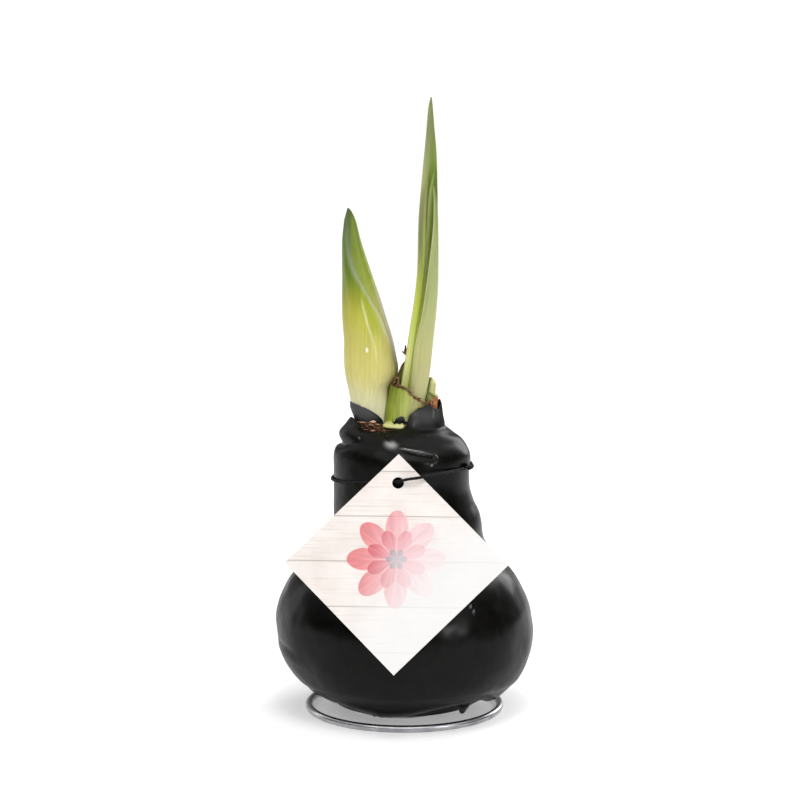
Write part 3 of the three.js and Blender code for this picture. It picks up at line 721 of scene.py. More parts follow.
# Height, middle to the right, middle to the back, half width, half depth.
BUD = [
    (94.3, -12.4, 0.4, 3.9, 3.0), (101.0, -11.4, 0.4, 4.85, 3.2), (108.0, -12.1, 0.7, 6.4, 4.4),
    (114.0, -12.35, 0.9, 7.3, 5.2), (117.2, -11.6, 1.0, 8.75, 5.7), (120.8, -11.5, 1.0, 9.35, 6.1),
    (125.0, -11.9, 1.0, 9.1, 6.1), (131.0, -12.5, 1.0, 8.5, 5.9), (138.0, -13.8, 0.9, 7.7, 5.4),
    (145.0, -14.9, 0.8, 6.7, 4.8), (152.0, -16.1, 0.7, 5.4, 4.0), (158.5, -17.2, 0.6, 4.3, 3.2),
    (165.5, -18.2, 0.5, 3.1, 2.4), (171.5, -18.6, 0.4, 2.0, 1.6), (175.0, -19.0, 0.3, 1.0, 0.9),
    (176.5, -19.4, 0.3, 0.2, 0.2),
]
BUD_COLUMNS = 128
BUD_RINGS = 260
# Where the front bract's free edge, the pale streak inside it and the painted sheen at the left run: a
# height, and the degrees from the front round the bud's own middle.
BRACT_EDGE = [
    (94.0, 60), (110.0, 58), (127.0, 57), (134.0, 52), (139.5, 46), (144.7, 31), (150.6, 14), (156.0, 0),
    (160.5, -8), (168.0, -10), (176.5, -6),
]
PALE_STREAK = [(100.0, 24), (116.0, 20), (123.0, 17), (129.0, 13), (136.0, 7), (144.0, 2), (150.0, 0)]
LEFT_SHEEN = [(138.0, -40), (148.0, -49), (160.0, -64), (168.0, -70)]
BRACT_STEP = 0.35  # the front bract stands this far proud at its free edge
BUD_SPECK = (127.9, -0.8)  # height, and millimetres to the right of the bud's middle
BUD_PAINT = ("edge", "streak", "under", "tan", "deep", "lime", "painted_shade", "lilac", "white_speck")


def bud_place(share, turn):
    """A place on the bud at degrees from its front, and what is painted there, as BUD_PAINT lists it."""
    z, x, y, wide, deep = along(BUD, share)
    angle = math.radians(turn - 90)
    runs = BRACT_EDGE, PALE_STREAK, LEFT_SHEEN
    edge_turn, streak_turn, sheen_turn = (at_height(run, z)[1] for run in runs)
    reach = math.radians(1) * (wide + deep) / 2
    past = (turn - edge_turn) * reach  # millimetres to the right of the front bract's edge
    beside = (turn - streak_turn) * reach
    proud = BRACT_STEP * between(118, 132, 172, 176, z) * between(-5.5, -0.2, 0.0, 0.35, past)
    proud -= 0.12 * hill(beside, 0.4) * between(112, 126, 140, 146, z)
    proud += 0.12 * grain(turn / 9, z / 30, 4.0) * between(98, 110, 172, 176, z)
    across, back = (wide + proud) * math.cos(angle), (deep + proud) * math.sin(angle)
    # a painted sheen streak down the upper left of the bud
    bloom = 0.4 * hill((turn - sheen_turn) * reach, 0.6) * between(138, 150, 160, 171, z)
    soft = 0.5 + 0.35 * ease(148, 156, z)
    edge = 0.8 * hill(past + soft, soft) * between(127, 137, 174, 176.5, z)
    speck_away = math.hypot((across - BUD_SPECK[1]) / 0.4, (z - BUD_SPECK[0]) / 0.9) if abs(turn) < 60 else 9
    return (x + across, y + back, z), (
        # pale along the front bract's free edge, partly a painted sheen there, and the painted sheen at the
        # left
        max(edge, bloom),
        0.65 * hill(beside, 0.3) * between(118, 136, 142, 147, z),
        0.8 * ease(0.0, 0.5, past) * ease(-10, 25, 180 - turn + edge_turn) * between(104, 126, 172, 176, z),
        0.75 * ease(-25, -75, turn) * (1 - ease(-150, -110, -abs(turn))) * between(96, 106, 146, 160, z),
        0.65 * hill(turn - edge_turn + 38, 22) * between(146, 156, 166, 174, z),
        0.7 * hill(turn - (edge_turn + streak_turn) / 2, 15) * between(127, 138, 146, 152, z),
        # painted shade on the lower right of the bud
        0.85 * hill(turn - 90, 45) * between(108, 116, 125, 140, z),
        0.95 * ease(-1, 5, turn - edge_turn) * hill(turn - 92, 34) * between(119, 131, 142, 154, z),
        # a small white speck
        1 - ease(0.7, 1.1, speck_away),
    )


def make_bud():
    rings, painted = [], []
    for share in shares(BUD_RINGS):
        ring = [bud_place(share, turn / BUD_COLUMNS * 360 - 180) for turn in range(BUD_COLUMNS)]
        rings.append([place for place, _ in ring])
        painted += [paint for _, paint in ring]
    mesh = skin("bud_fine", rings, **dict(zip(BUD_PAINT, zip(*painted))))
    piece("bud_fine", mesh, "bud_green", "flower_bud", finish=BUD_SKIN)


# ------------------------------------------------------------------ leaves

# Height, middle to the right, middle to the back, width, depth of the channel, thickness, and the
# direction in degrees that the channel opens to.
LEAF_TALL = [
    (94.3, 0.2, 1.2, 8.9, 1.9, 1.4, -92), (101.0, 1.2, 1.2, 9.2, 1.8, 1.4, -92),
    (110.0, 2.6, 1.2, 9.4, 1.7, 1.3, -92), (120.0, 4.0, 1.4, 8.8, 1.6, 1.2, -92),
    (131.0, 5.3, 1.6, 8.1, 1.6, 1.1, -90), (151.6, 7.6, 1.7, 7.0, 1.5, 1.0, -84),
    (172.0, 8.0, 1.7, 6.5, 1.4, 0.9, -80), (186.0, 8.6, 1.7, 5.6, 1.2, 0.8, -75),
    (196.4, 8.9, 1.6, 4.2, 0.9, 0.7, -75), (204.0, 8.9, 1.5, 2.8, 0.6, 0.6, -75),
    (210.5, 8.9, 1.4, 1.7, 0.3, 0.5, -75), (214.4, 9.1, 1.3, 0.4, 0.1, 0.3, -75),
]
LEAF_INNER = [
    (94.3, 0.6, 0.0, 6.0, 1.2, 1.1, -75), (110.0, 3.3, 0.0, 5.8, 1.2, 1.0, -75),
    (130.0, 5.9, 0.1, 5.4, 1.2, 0.9, -75), (150.0, 8.4, 0.2, 4.8, 1.1, 0.8, -75),
    (169.0, 9.5, 0.2, 4.0, 1.0, 0.7, -75), (180.0, 9.8, 0.2, 3.3, 0.8, 0.6, -75),
    (185.5, 10.2, 0.2, 2.1, 0.5, 0.5, -75), (190.2, 10.6, 0.2, 0.4, 0.1, 0.3, -75),
]
LEAF_FRONT = [
    (94.3, 1.8, -2.0, 5.8, 1.1, 1.1, 98), (110.0, 4.2, -2.1, 5.9, 1.2, 1.1, 98),
    (119.0, 5.6, -2.4, 6.4, 1.4, 1.1, 102), (129.0, 6.7, -2.5, 6.4, 1.4, 1.0, 105),
    (140.0, 8.45, -2.5, 5.3, 1.3, 0.9, 110), (149.0, 9.45, -2.5, 4.7, 1.2, 0.8, 115),
    (158.0, 10.05, -2.6, 4.1, 1.0, 0.8, 130), (168.0, 10.4, -2.9, 3.7, 0.8, 0.7, 155),
    (177.0, 10.5, -2.7, 2.5, 0.5, 0.6, 160), (184.2, 9.9, -2.2, 0.4, 0.1, 0.3, 160),
]
BLADE_SIDE = 33  # points across each face of a blade
MARGIN_THICK = 0.25  # of the blade's thickness that is left at its margins
# Where the channel's darker colours start, partly the leaf's own green and partly painted shade, from -1
# at one margin to 1 at the other, at some heights.
CHANNEL_FROM = [(94.0, -0.35), (130.0, -0.33), (140.0, -0.25), (160.0, -0.16), (185.0, -0.12), (215.0, 0.0)]
BLADE_PAINT = ("across", "up", "inside", "channel", "rolled")


def make_blade(name, rows, rings, node, finish, fold=0.0):
    """A channelled blade. fold is how far its deepest line lies from its middle."""
    places = [2 * share - 1 for share in shares(BLADE_SIDE)]
    sections, painted = [], []
    for share in shares(rings):
        z, x, y, width, depth, thick, facing = along(rows, share)
        opens = Vector((math.cos(math.radians(facing)), math.sin(math.radians(facing)), 0))
        side = Vector((-opens.y, opens.x, 0))
        section = []
        for half in (-0.5, 0.5):
            for place in places if half > 0 else reversed(places):
                round_off = math.sqrt(1 - place ** 2 * (1 - MARGIN_THICK ** 2))
                rib = 0.05 * math.cos(place * 34) * (1 - abs(place))
                lean = (place - fold) / (1 + fold if place < fold else 1 - fold)
                out = half * thick * round_off + rib - depth * (1 - lean ** 2)
                section.append(Vector((x, y, z)) + side * (place * width / 2) + opens * out)
                starts = at_height(CHANNEL_FROM, z)[1]
                channel = ease(starts - 0.14, starts + 0.14, place)
                rolled = between(140, 168, 176, 190, z) * (1 - ease(-0.5, -0.36, place))
                painted.append((place, share, half + 0.5, channel, rolled))
        sections.append(section)
    mesh = skin(name, sections, **dict(zip(BLADE_PAINT, zip(*painted))))
    piece(name, mesh, "leaf_green", node, finish=finish)


# ------------------------------------------------------------------ cut leaf bases and dry scales

NECK_FLOOR = 94.3
NECK_MIDDLE = -2.8  # how far to the right of the axis the neck's opening has its middle
NECK_WIDE = 15.0  # half of its width

SHEATH_WIDE = 7.8  # half width, and below half depth
SHEATH_DEEP = 6.2
SHEATH_THICK = 1.1
# The height of its dried rim every 10 degrees.
SHEATH_RIM = [
    109.7, 109.9, 110.2, 110.6, 111.2, 112.2, 113.3, 114.6, 116.2, 118.2, 120.3, 121.8,
    122.6, 122.4, 119.6, 116.6, 115.8, 115.8, 116.0, 116.2, 116.2, 116.1, 115.8, 115.6,
    115.3, 114.8, 113.8, 112.6, 111.7, 110.9, 110.1, 109.5, 109.2, 109.3, 109.4, 109.6,
]
SHEATH_BEVEL = 0.75  # the cut slopes in by this much
FLANGE = 2.2  # its foot curls out over the wax by this much at the front left
FLANGE_LEVEL = 101.1

STUB_CLEAR = 0.36  # between the stub and the sheath
STUB_THICK = 1.3
STUB_ARC = (-6, 34)  # degrees
STUB_TOP = 117.6
STUB_LEANS = (110.9, 112.4)  # between these heights, its upper part leans away to its own line


def sheath_middle(z):
    return 0.7 + 0.17 * (z - 101)


def sheath_rim(angle):
    return around(SHEATH_RIM, angle / (2 * math.pi))


def wall(name, turns, levels, foot, rim, outer, inner, closed=False, **painted):
    """An upright wall. Its section runs up the outside and down the inside at each angle. foot, rim and
    painted are rules or constants, and outer and inner give the places on its two sides."""
    rings = []
    values = {label: [] for label in painted}
    for turn in turns:
        angle = math.radians(turn)
        high = value_of(rim, angle)
        heights = spread(value_of(foot, angle), high, levels)
        rings.append([outer(angle, z) for z in heights] + [inner(angle, z) for z in reversed(heights)])
        for label, rule in painted.items():
            values[label] += [value_of(rule, angle, z, high) for z in heights + heights[::-1]]
    return skin(name, rings, closed, **values)


def sheath_place(angle, z, out):
    """A place on the cut leaf base's outside, or further out."""
    turn = math.degrees(angle) % 360
    left = 0.6 * max(-math.cos(angle), 0) ** 6 * ease(99, 108, z)
    lip = FLANGE * between(196, 212, 258, 270, turn)
    lip *= ease(103.0, FLANGE_LEVEL, z) if z > FLANGE_LEVEL else ease(100.3, FLANGE_LEVEL - 0.2, z)
    ribs = 0.06 * math.cos(22 * angle) + 0.1 * grain(math.cos(angle) * 3, math.sin(angle) * 3, z / 9)
    fold = 0.35 * hill(turn - 268 - 1.2 * (z - 106), 4) - 0.3 * hill(turn - 277 - 1.2 * (z - 106), 5)
    out += left + lip + ribs + fold * between(100, 104, 111, 113, z)
    return sheath_middle(z) + (SHEATH_WIDE + out) * math.cos(angle), (SHEATH_DEEP + out) * math.sin(angle), z


def make_sheath():
    def torn_rim(angle):
        torn = 0.35 * grain(math.cos(angle) * 4, math.sin(angle) * 4, 5.0) + 0.25 * grain(angle * 9, 1.0, 8.0)
        return sheath_rim(angle) + torn

    def outside(angle, z):
        return sheath_place(angle, z, -SHEATH_BEVEL * ease(-0.9, 0, z - torn_rim(angle)))

    def facet(angle, z, high):
        """0 at the left of its front, 1 at the right."""
        turn = math.degrees(angle) % 360
        return min(max((turn - 195 - 1.2 * (z - 106)) / 140, 0), 1) if turn > 120 else 0.9

    mesh = wall(
        "sheath", range(0, 360, 2), 72, NECK_FLOOR, torn_rim, outside,
        lambda angle, z: sheath_place(angle, z, -SHEATH_THICK), closed=True, facet=facet,
        dried=lambda angle, z, high: ease(-0.9, -0.55, z - high + 0.4 * grain(angle * 9, 0.0, 2.0)),
        torn=lambda angle, z, high: 0.3 * ease(-0.35, -0.1, z - high + 0.3 * grain(angle * 8, 0.0, 6.0)),
        pale=lambda angle, z, high: 0.85 * between(99.5, 100.6, 101.6, 103.4, z),
    )
    whole = join_meshes("sheath_fine", mesh, make_curl(), *make_rim_flakes())
    piece("sheath_fine", whole, "cut_leaf_green", "neck_sheath", finish=CUT_LEAF)


CURL_AT = (-3.1, -4.0, 117.0)
RIM_FLAKES = 30


def make_rim_flakes():
    """Dried crumbs and curls that hang along the front of the cut, most of them at its left end."""
    flakes = []
    chance = random.Random(11)
    for k in range(RIM_FLAKES):
        turn = 208 + 122 * ((k + chance.random()) / RIM_FLAKES) ** 1.3
        angle = math.radians(turn)
        place = sheath_place(angle, sheath_rim(angle) - 0.55 + 0.75 * chance.random(), 0.12)
        long, wide = 0.9 + 0.8 * chance.random(), 0.3 + 0.35 * chance.random()
        turned, tipped = turn - 270 + chance.uniform(-35, 35), chance.uniform(10, 90)
        bleached = 0.7 * chance.random() ** 2
        flakes.append(make_scrap(
            place, long, wide, turned, tipped, 0.9, bleached, facet=0.5, dried=1.0, pale=0.0,
        ))
    return flakes


def make_curl():
    """The dried flap that has rolled up at the left end of the cut."""
    rings = []
    x, y, z = CURL_AT
    for share in shares(46):
        angle = math.radians(-70 + 400 * share)
        size = 1.6 - 1.2 * share
        depths = spread(y - 1.0 + 0.5 * share, y + 1.2, 3)
        rim = [(size + 0.45 * grain(angle * 1.6, depth, 3.0), depth) for depth in depths]
        thin = [(reach - 0.45, depth) for reach, depth in reversed(rim)]
        rings.append([
            (x + s * math.cos(angle) * 0.85 + 0.35 * s * math.sin(angle), d, z + s * math.sin(angle) * 1.3)
            for s, d in rim + thin
        ])
    torn = [0.35, 0.0, 0.0, 0.0, 0.0, 0.35] * len(rings)
    return skin("curl", rings, facet=0.5, dried=1.0, torn=torn, pale=0.0)


def stub_rim(angle):
    return STUB_TOP - 3.0 * abs(angle - math.radians(12)) + 0.15 * grain(angle * 12, 3.0, 0.0)


def make_stub():
    def side(out, step, top, lean):
        """One side: how far out it stands, how far it steps in where it leans, how round its top is and
        how much it leans."""
        def place(angle, z):
            leans = ease(*STUB_LEANS, z)
            rounding = top * ease(-1.8, 0, z - stub_rim(angle)) ** 2
            reach = out + 0.08 * math.cos(angle * 40) - step * leans - rounding
            x = sheath_middle(min(z, 111)) - lean * (STUB_TOP - z) * leans
            return x + (SHEATH_WIDE + reach) * math.cos(angle), (SHEATH_DEEP + reach) * math.sin(angle), z
        return place

    body = wall(
        "stub", spread(*STUB_ARC, 36), 64, lambda angle: NECK_FLOOR + 9.4 * ease(12, 20, math.degrees(angle)),
        stub_rim, side(STUB_CLEAR + STUB_THICK, 0.9, 1.2, 0.04), side(STUB_CLEAR, 1.4, 0.0, 0.16),
        facet=0.5, pale=0.55, dried=lambda angle, z, high: 0.25 * ease(-0.5, -0.1, z - high), shadow=0.0,
    )
    whole = join_meshes("stub_fine", body, make_stub_fold())
    piece("stub_fine", whole, "cut_leaf_green", "cut_leaf_stub", finish=CUT_LEAF)


# The stub's left side: height, its own left and right sides, and how far back it stands.
STUB_FOLD = [
    (106.0, 6.2, 10.7, -0.4), (110.0, 6.9, 10.7, -0.4), (112.4, 7.2, 9.9, -0.3), (115.0, 7.7, 9.6, -0.2),
    (117.6, 8.2, 9.4, 0.0),
]


def make_stub_fold():
    """The stub's left side, which folds in behind the leaves and lies in their shadow."""
    rings, shadow = [], []
    for share in shares(30):
        z, left, right, back = along(STUB_FOLD, share)
        front = [(x, back + 0.3 - 0.3 * part, z) for part, x in zip(shares(5), spread(left, right, 5))]
        rings.append(front + [(x, y + 0.4, z) for x, y, z in reversed(front)])
        shadow += [0.85 * (1 - ease(left + 1.1, left + 1.6, x)) + 0.1 for x, _, _ in front] + [0.8] * 5
    return skin("stub_fold", rings, shadow=shadow, facet=0.5, dried=0.0, pale=0.3)


def papery(start, end, wide, deep, foot, rim, thick=0.16, seed=1.0, crumple=0.35):
    """Torn, crumpled paper on an arc round the neck's opening, from one angle to another."""
    def side(inwards):
        def place(angle, z):
            fold = crumple * (grain(angle * 5, z / 1.6, seed) + 0.5 * grain(angle * 13, z / 0.8, seed))
            out = fold - inwards
            return NECK_MIDDLE + (wide + out) * math.cos(angle), (deep + out) * math.sin(angle), z
        return place

    def ragged(angle):
        return value_of(rim, angle) + 0.5 * grain(angle * 7, seed, 1.0) + 0.5 * grain(angle * 23, seed, 4.0)

    return wall(
        "paper", spread(start, end, end - start), 18, foot, ragged, side(0), side(thick),
        torn=lambda angle, z, high: ease(-0.4, -0.1, z - high) * (0.25 + 0.8 * grain(angle * 6, seed, 9.0)),
    )


# Curled scraps of the bulb's skins: place, length, width, degrees turned, degrees tipped, how far they
# curl, and how bleached they are.
SCRAPS = [
    ((-14.5, -4.9, 102.6), 3.0, 0.5, -24, 30, 0.5, 0.5),
    ((-10.9, -5.3, 102.8), 2.3, 0.9, -10, 40, 1.2, 1.0),
    ((-11.7, -5.7, 101.8), 2.4, 0.45, -16, 20, 0.6, 0.5),
    ((-9.4, -5.9, 102.0), 1.6, 0.5, -8, 50, 0.8, 0.4),
    ((-15.1, -5.4, 100.9), 1.7, 0.6, -34, 30, 0.6, 0.25),
    ((-13.4, -6.4, 100.3), 2.2, 0.4, -26, 30, 0.5, 0.15),
    ((-10.9, -7.0, 100.0), 2.0, 0.6, -14, 30, 0.6, 0.6),
    ((-9.0, -7.3, 99.6), 3.3, 0.4, -5, 20, 0.4, 0.85),
    ((-12.6, -7.0, 99.7), 2.2, 0.35, -22, 20, 0.4, 0.3),
]


def make_scrap(place, long, wide, turned, tipped, curl, bleached, **painted):
    stand = Matrix.Rotation(math.radians(turned), 3, "Z") @ Matrix.Rotation(math.radians(tipped), 3, "X")
    rings = []
    for share in shares(14):
        length = (share - 0.5) * long
        half = wide / 2 * (1 - abs(2 * share - 1) ** 2.5) * (1 + 0.5 * grain(place[0] + share * 4, 1.0, 2.0))
        ring = []
        for side in (1, -1):
            for k in range(-3, 4):
                across = side * k / 3 * half
                roll = curl * (across ** 2 / wide + 0.35 * (share - 0.5) ** 2 * long)
                lump = 0.12 * grain(length * 1.5, across * 2, place[0])
                point = Vector((length, across, roll + lump + side * 0.06))
                ring.append(stand @ point + Vector(place))
        rings.append(ring)
    return skin("scrap", rings, torn=bleached, **painted)


def make_tunic():
    """The torn brown skins between the wax and the shoots: ragged layers, and scraps on their edges."""
    layers = [
        papery(178, 254, 14.4, 7.7, 97.0, lambda angle: min(rim_height(angle) + 0.9, 102.6), seed=1.0),
        papery(172, 250, 13.3, 6.9, 95.0, lambda angle: min(rim_height(angle) + 1.9, 102.6), seed=5.0),
        papery(100, 247, 12.2, 6.1, 94.8, 102.2, seed=9.0),
        papery(86, 178, 14.2, 7.5, 97.0, 102.4, seed=13.0),
    ]
    mesh = join_meshes("tunic_fine", *layers, *(make_scrap(*scrap) for scrap in SCRAPS))
    piece("tunic_fine", mesh, "dry_paper", "dry_tunic_edge", finish=TUNIC_BROWN)


SCALE_ARC = (-34, -7)  # degrees
SCALE_FOOT = 103.4
SCALE_TOP = 111.2
SCALE_PEAK = -17  # degrees


def make_dry_scale():
    def arched(angle):
        return SCALE_TOP - 22 * (angle - math.radians(SCALE_PEAK)) ** 2

    mesh = papery(*SCALE_ARC, 14.5, 7.7, SCALE_FOOT, arched, thick=0.4, seed=3.0, crumple=0.15)
    piece("scale_fine", mesh, "dry_paper", "dry_scale_right", finish=SCALE_BROWN)


# Withered strands at the back left of the tallest leaf: height, place to the right, place to the
# back, half width and half thickness.
STRANDS = [
    [(94.3, -3.4, 3.0, 1.0, 0.3), (104.0, -2.45, 3.0, 1.0, 0.3), (112.0, -1.25, 2.95, 0.9, 0.3),
     (119.0, 0.35, 2.95, 0.7, 0.25), (122.5, 1.1, 2.7, 0.5, 0.3), (124.8, 0.85, 2.2, 0.45, 0.3),
     (126.2, 0.3, 1.9, 0.5, 0.35), (127.4, 0.38, 1.85, 0.42, 0.3), (128.6, 0.3, 1.8, 0.2, 0.15)],
    [(125.2, 0.6, 1.95, 0.35, 0.3), (125.7, 0.1, 1.9, 0.42, 0.3), (126.1, -0.4, 1.9, 0.36, 0.25),
     (126.8, -0.95, 1.9, 0.15, 0.12)],
]


def make_withered_tip():
    strands = []
    for rows in STRANDS:
        rings = []
        for z, x, y, wide, thick in (along(rows, share) for share in shares(70)):
            crumple = 0.12 * grain(z / 0.7, x, 3.0)
            rings.append([
                (x + (wide + crumple) * math.cos(angle), y + (thick + crumple) * math.sin(angle), z)
                for angle in circle(12)
            ])
        strands.append(skin("strand", rings))
    piece("withered_tip", join_meshes("withered_tip", *strands), "dry_paper", "dry_leaf_tip", finish=WITHERED)


# ------------------------------------------------------------------ wax on the bud

BUD_WAX = 0.55  # thickness
BUD_WAX_ARC = (140, 318)  # degrees
BUD_WAX_FOOT = 101.2
BUD_WAX_TOP = 109.2


def bud_wax_rim(angle):
    turned = max(math.degrees(angle) - 185, 0) / 137
    falls = 7.1 * turned ** 2.2 + 2.4 * ease(0, 0.7, math.pi - angle)
    return BUD_WAX_TOP - falls + 0.2 * grain(angle * 5, 0.0, 1.0)


def make_bud_wax():
    def side(out):
        def place(angle, z):
            _, x, y, wide, deep = at_height(BUD, z)
            off = 0.1 + out * (0.35 + 0.65 * ease(0.0, 2.2, bud_wax_rim(angle) - z))
            return x + (wide + off) * math.cos(angle), y + (deep + off) * math.sin(angle), z
        return place

    mesh = wall(
        "bud_wax_fine", spread(*BUD_WAX_ARC, 120), 34, BUD_WAX_FOOT, bud_wax_rim, side(BUD_WAX), side(0.05),
        # greyer towards its top and its left: partly dust, partly a painted highlight where light falls on it
        dust=lambda angle, z, high: 0.24 * ease(100, 105.5, z) * (1 - ease(262, 312, math.degrees(angle))),
    )
    piece("bud_wax_fine", mesh, "wax", "wax_on_bud", finish=WAX)


# ------------------------------------------------------------------ tag

TAG_SIDE = 53.5
TAG_HALF = TAG_SIDE / math.sqrt(2)  # from its middle to a corner
TAG_THICK = 0.45
TAG_HOLE = 4.0
TAG_HOLE_DROP = 10.0  # from the top corner to the middle of the hole
TAG_AT = (-2.2, -25.6, 85.2)  # the middle of the hole
TAG_LEAN, TAG_YAW = 21.8, -3.5  # degrees
TAG_RAYS = 160
TAG_RINGS = 40
PLANK_TALL = 15.5
ROSETTE_Y = 1.5
# The rosette's rows of petals: reach, number, angle turned, their rims' and hearts' colours at the left,
# and the same at the right, paled there by painted glare.
PETALS = [
    (17.0, 8, 0.0, "#c9565c", "#d68286", "#dcb0b4", "#e2c6c9"),
    (10.6, 8, math.pi / 8, "#b8434f", "#c96d73", "#d69fa6", "#dfbcc1"),
    (3.8, 6, 0.0, "#77717a", "#8f898f", "#a9a6ad", "#b9b6bb"),
]


def tag_print():
    """Pale planks with a plain round rosette of petals, coral at its left and paled at its right by
    painted glare, and a painted glare over the lower right of the card.
    """
    front = Finish("tag_print", Roughness=0.4, Specular_IOR_Level=0.4)
    # millimetres across the card and up it, from its middle
    x, y = front.painted("card_x"), front.painted("card_y")
    flat = front.add("ShaderNodeCombineXYZ", {0: x, 1: y})
    grain_lines = front.noise((0.05, 1.6, 1), 4, where=flat)
    blotch = front.noise((0.09, 0.09, 1), 2, where=flat)
    board = front.mix(front.remap(blotch, 0.35, 0.65), "#ddd6d1", "#d3cac5")
    board = front.mix(front.remap(grain_lines, 0.54, 0.7, 0, 0.4), board, "#ac9f97")
    plank = front.math("FRACT", front.math("DIVIDE", front.plus(y, 100.0), PLANK_TALL))
    joint = front.remap(front.math("ABSOLUTE", front.minus(plank, 0.5)), 0.0, 0.022, 0.8, 0.0)
    body = front.mix(joint, board, "#8b827c")
    # the petals go from their own colours at the left to their painted glare at the right
    fade = front.remap(x, -13, 12, soft=True)
    for reach, petals, turned, rim, heart, rim_in_glare, heart_in_glare in PETALS:
        tones = front.mix(fade, rim, rim_in_glare), front.mix(fade, heart, heart_in_glare)
        body = rosette(front, body, x, front.minus(y, ROSETTE_Y), reach, petals, turned, *tones)
    # painted glare over the lower right of the print
    painted_glare = front.remap(front.minus(x, y), -12, 26, 0.0, 0.8, soft=True)
    return front.coated(front.mix(painted_glare, body, "#d7d7d7"), (blotch, 0.01))


def rosette(front, under, x, y, reach, petals, turned, rim, heart):
    """Round petals, drawn as a curve of angle and distance, over the print below."""
    away = front.math("SQRT", front.plus(front.times(x, x), front.times(y, y)))
    angle = front.plus(front.math("ARCTAN2", y, x), turned)
    wave = front.math("ABSOLUTE", front.math("COSINE", front.times(angle, petals / 2)))
    edge = front.times(front.plus(front.times(wave, 0.38), 0.62), reach)
    inside = front.remap(front.minus(edge, away), 0.0, 0.35)
    tone = front.mix(front.remap(away, reach * 0.25, reach), heart, rim)
    tone = front.mix(front.remap(wave, 0.0, 0.35, 0.55, 0.0, soft=True), tone, "#f0c9ca")
    brushed = front.add("ShaderNodeCombineXYZ", {0: front.times(angle, 9.0), 1: front.times(away, 0.12)})
    tone = front.shaded(tone, front.noise(1.0, 3, where=brushed), 0.3, 0.7, 0.82, 1.12)
    return front.mix(front.times(inside, 0.85), under, tone)


def card_edge(turn):
    """A place on the square's outline, seen from the hole, at an angle from the right."""
    c, s = math.cos(turn), math.sin(turn)
    # two straight runs meet at the top corner and two at the bottom one; the nearer run is the outline
    upper = TAG_HOLE_DROP / (abs(c) + s) if abs(c) + s > 0 else math.inf
    lower = (2 * TAG_HALF - TAG_HOLE_DROP) / (abs(c) - s) if abs(c) - s > 0 else math.inf
    return min(upper, lower) * c, min(upper, lower) * s


def make_tag():
    right = math.atan2(TAG_HOLE_DROP - TAG_HALF, TAG_HALF)
    corners = [math.pi / 2, -math.pi / 2, right, math.pi - right]
    rays = [2 * math.pi * (i + 0.31) / TAG_RAYS - math.pi / 2 for i in range(TAG_RAYS)]
    yaw, lean = (math.radians(turn) for turn in (TAG_YAW, 90 - TAG_LEAN))
    stand = Matrix.Rotation(yaw, 3, "Z") @ Matrix.Rotation(lean, 3, "X")
    front = [(share, 0.5) for share in shares(TAG_RINGS)]
    section = front + [(share, -side) for share, side in reversed(front)]
    rings, card_x, card_y = [], [], []
    for turn in sorted(corners + rays, key=lambda angle: angle % (2 * math.pi)):
        edge_x, edge_y = card_edge(turn)
        hole_x, hole_y = TAG_HOLE / 2 * math.cos(turn), TAG_HOLE / 2 * math.sin(turn)
        ring = []
        for share, side in section:
            x, y = hole_x + share * (edge_x - hole_x), hole_y + share * (edge_y - hole_y)
            ring.append(stand @ Vector((x, y, side * TAG_THICK)) + Vector(TAG_AT))
            card_x.append(x)
            card_y.append(y - TAG_HOLE_DROP + TAG_HALF)
        rings.append(ring)
    mesh = skin("tag_fine", rings, closed=True, card_x=card_x, card_y=card_y)
    piece("tag_fine", mesh, "tag_card", "tag", finish=tag_print())
    mesh.materials.append(CARD)
    outwards = stand @ Vector((0, 0, 1))
    for face in mesh.polygons:
        face.use_smooth = False
        face.material_index = 0 if face.normal.dot(outwards) > 0.9 else 1


# ------------------------------------------------------------------ elastic

NECK_ROUND = (24.3, 23.0)  # half width and half depth of its way round the neck
NECK_ROUND_MIDDLE = -0.9
ELASTIC_LEVEL = 84.6  # at the back; it lies higher at the right and in front, and lower at the left
# Its way through the tag's hole, from the middle of the hole: to the right, to the back and up.
ELASTIC_AT_TAG = [
    (-3.6, 2.6, 0.6), (-1.3, 1.6, 0.2), (0.2, 0.3, 0.4), (1.3, -1.1, 1.0), (3.4, -1.7, 1.6), (7.8, -1.5, 2.2),
    (12.5, 1.4, 2.6), (17.5, 6.4, 2.6),
]
ELASTIC_POINTS = 300
KNOT_TURN = -23  # degrees
KNOT_LEVEL = 87.9
KNOT_OUT = 1.0  # further out than the elastic's own way


def elastic_route():
    """Round the neck from the tag's right to its left, and through its hole."""
    wide, deep = NECK_ROUND
    route = []
    for turn in range(-24, 247, 15):
        angle = math.radians(turn)
        level = ELASTIC_LEVEL + 2.5 * math.cos(angle) + 1.2 * max(-math.sin(angle), 0)
        route.append((NECK_ROUND_MIDDLE + wide * math.cos(angle), deep * math.sin(angle), level))
    route += [tuple(at + step for at, step in zip(TAG_AT, steps)) for steps in ELASTIC_AT_TAG]
    axes = list(zip(*route))
    return [tuple(around(axis, i / ELASTIC_POINTS) for axis in axes) for i in range(ELASTIC_POINTS)]


def shape_tree(name, **inputs):
    """A new tree of geometry nodes with a path, named inputs and a finish, and those as sockets."""
    tree = bpy.data.node_groups.new(name, "GeometryNodeTree")
    for label, kind in {"Path": "Geometry", **inputs, "Finish": "Material"}.items():
        tree.interface.new_socket(label, in_out="INPUT", socket_type="NodeSocket" + kind)
    tree.interface.new_socket("Shape", in_out="OUTPUT", socket_type="NodeSocketGeometry")
    return Graph(tree), tree.nodes.new("NodeGroupInput").outputs


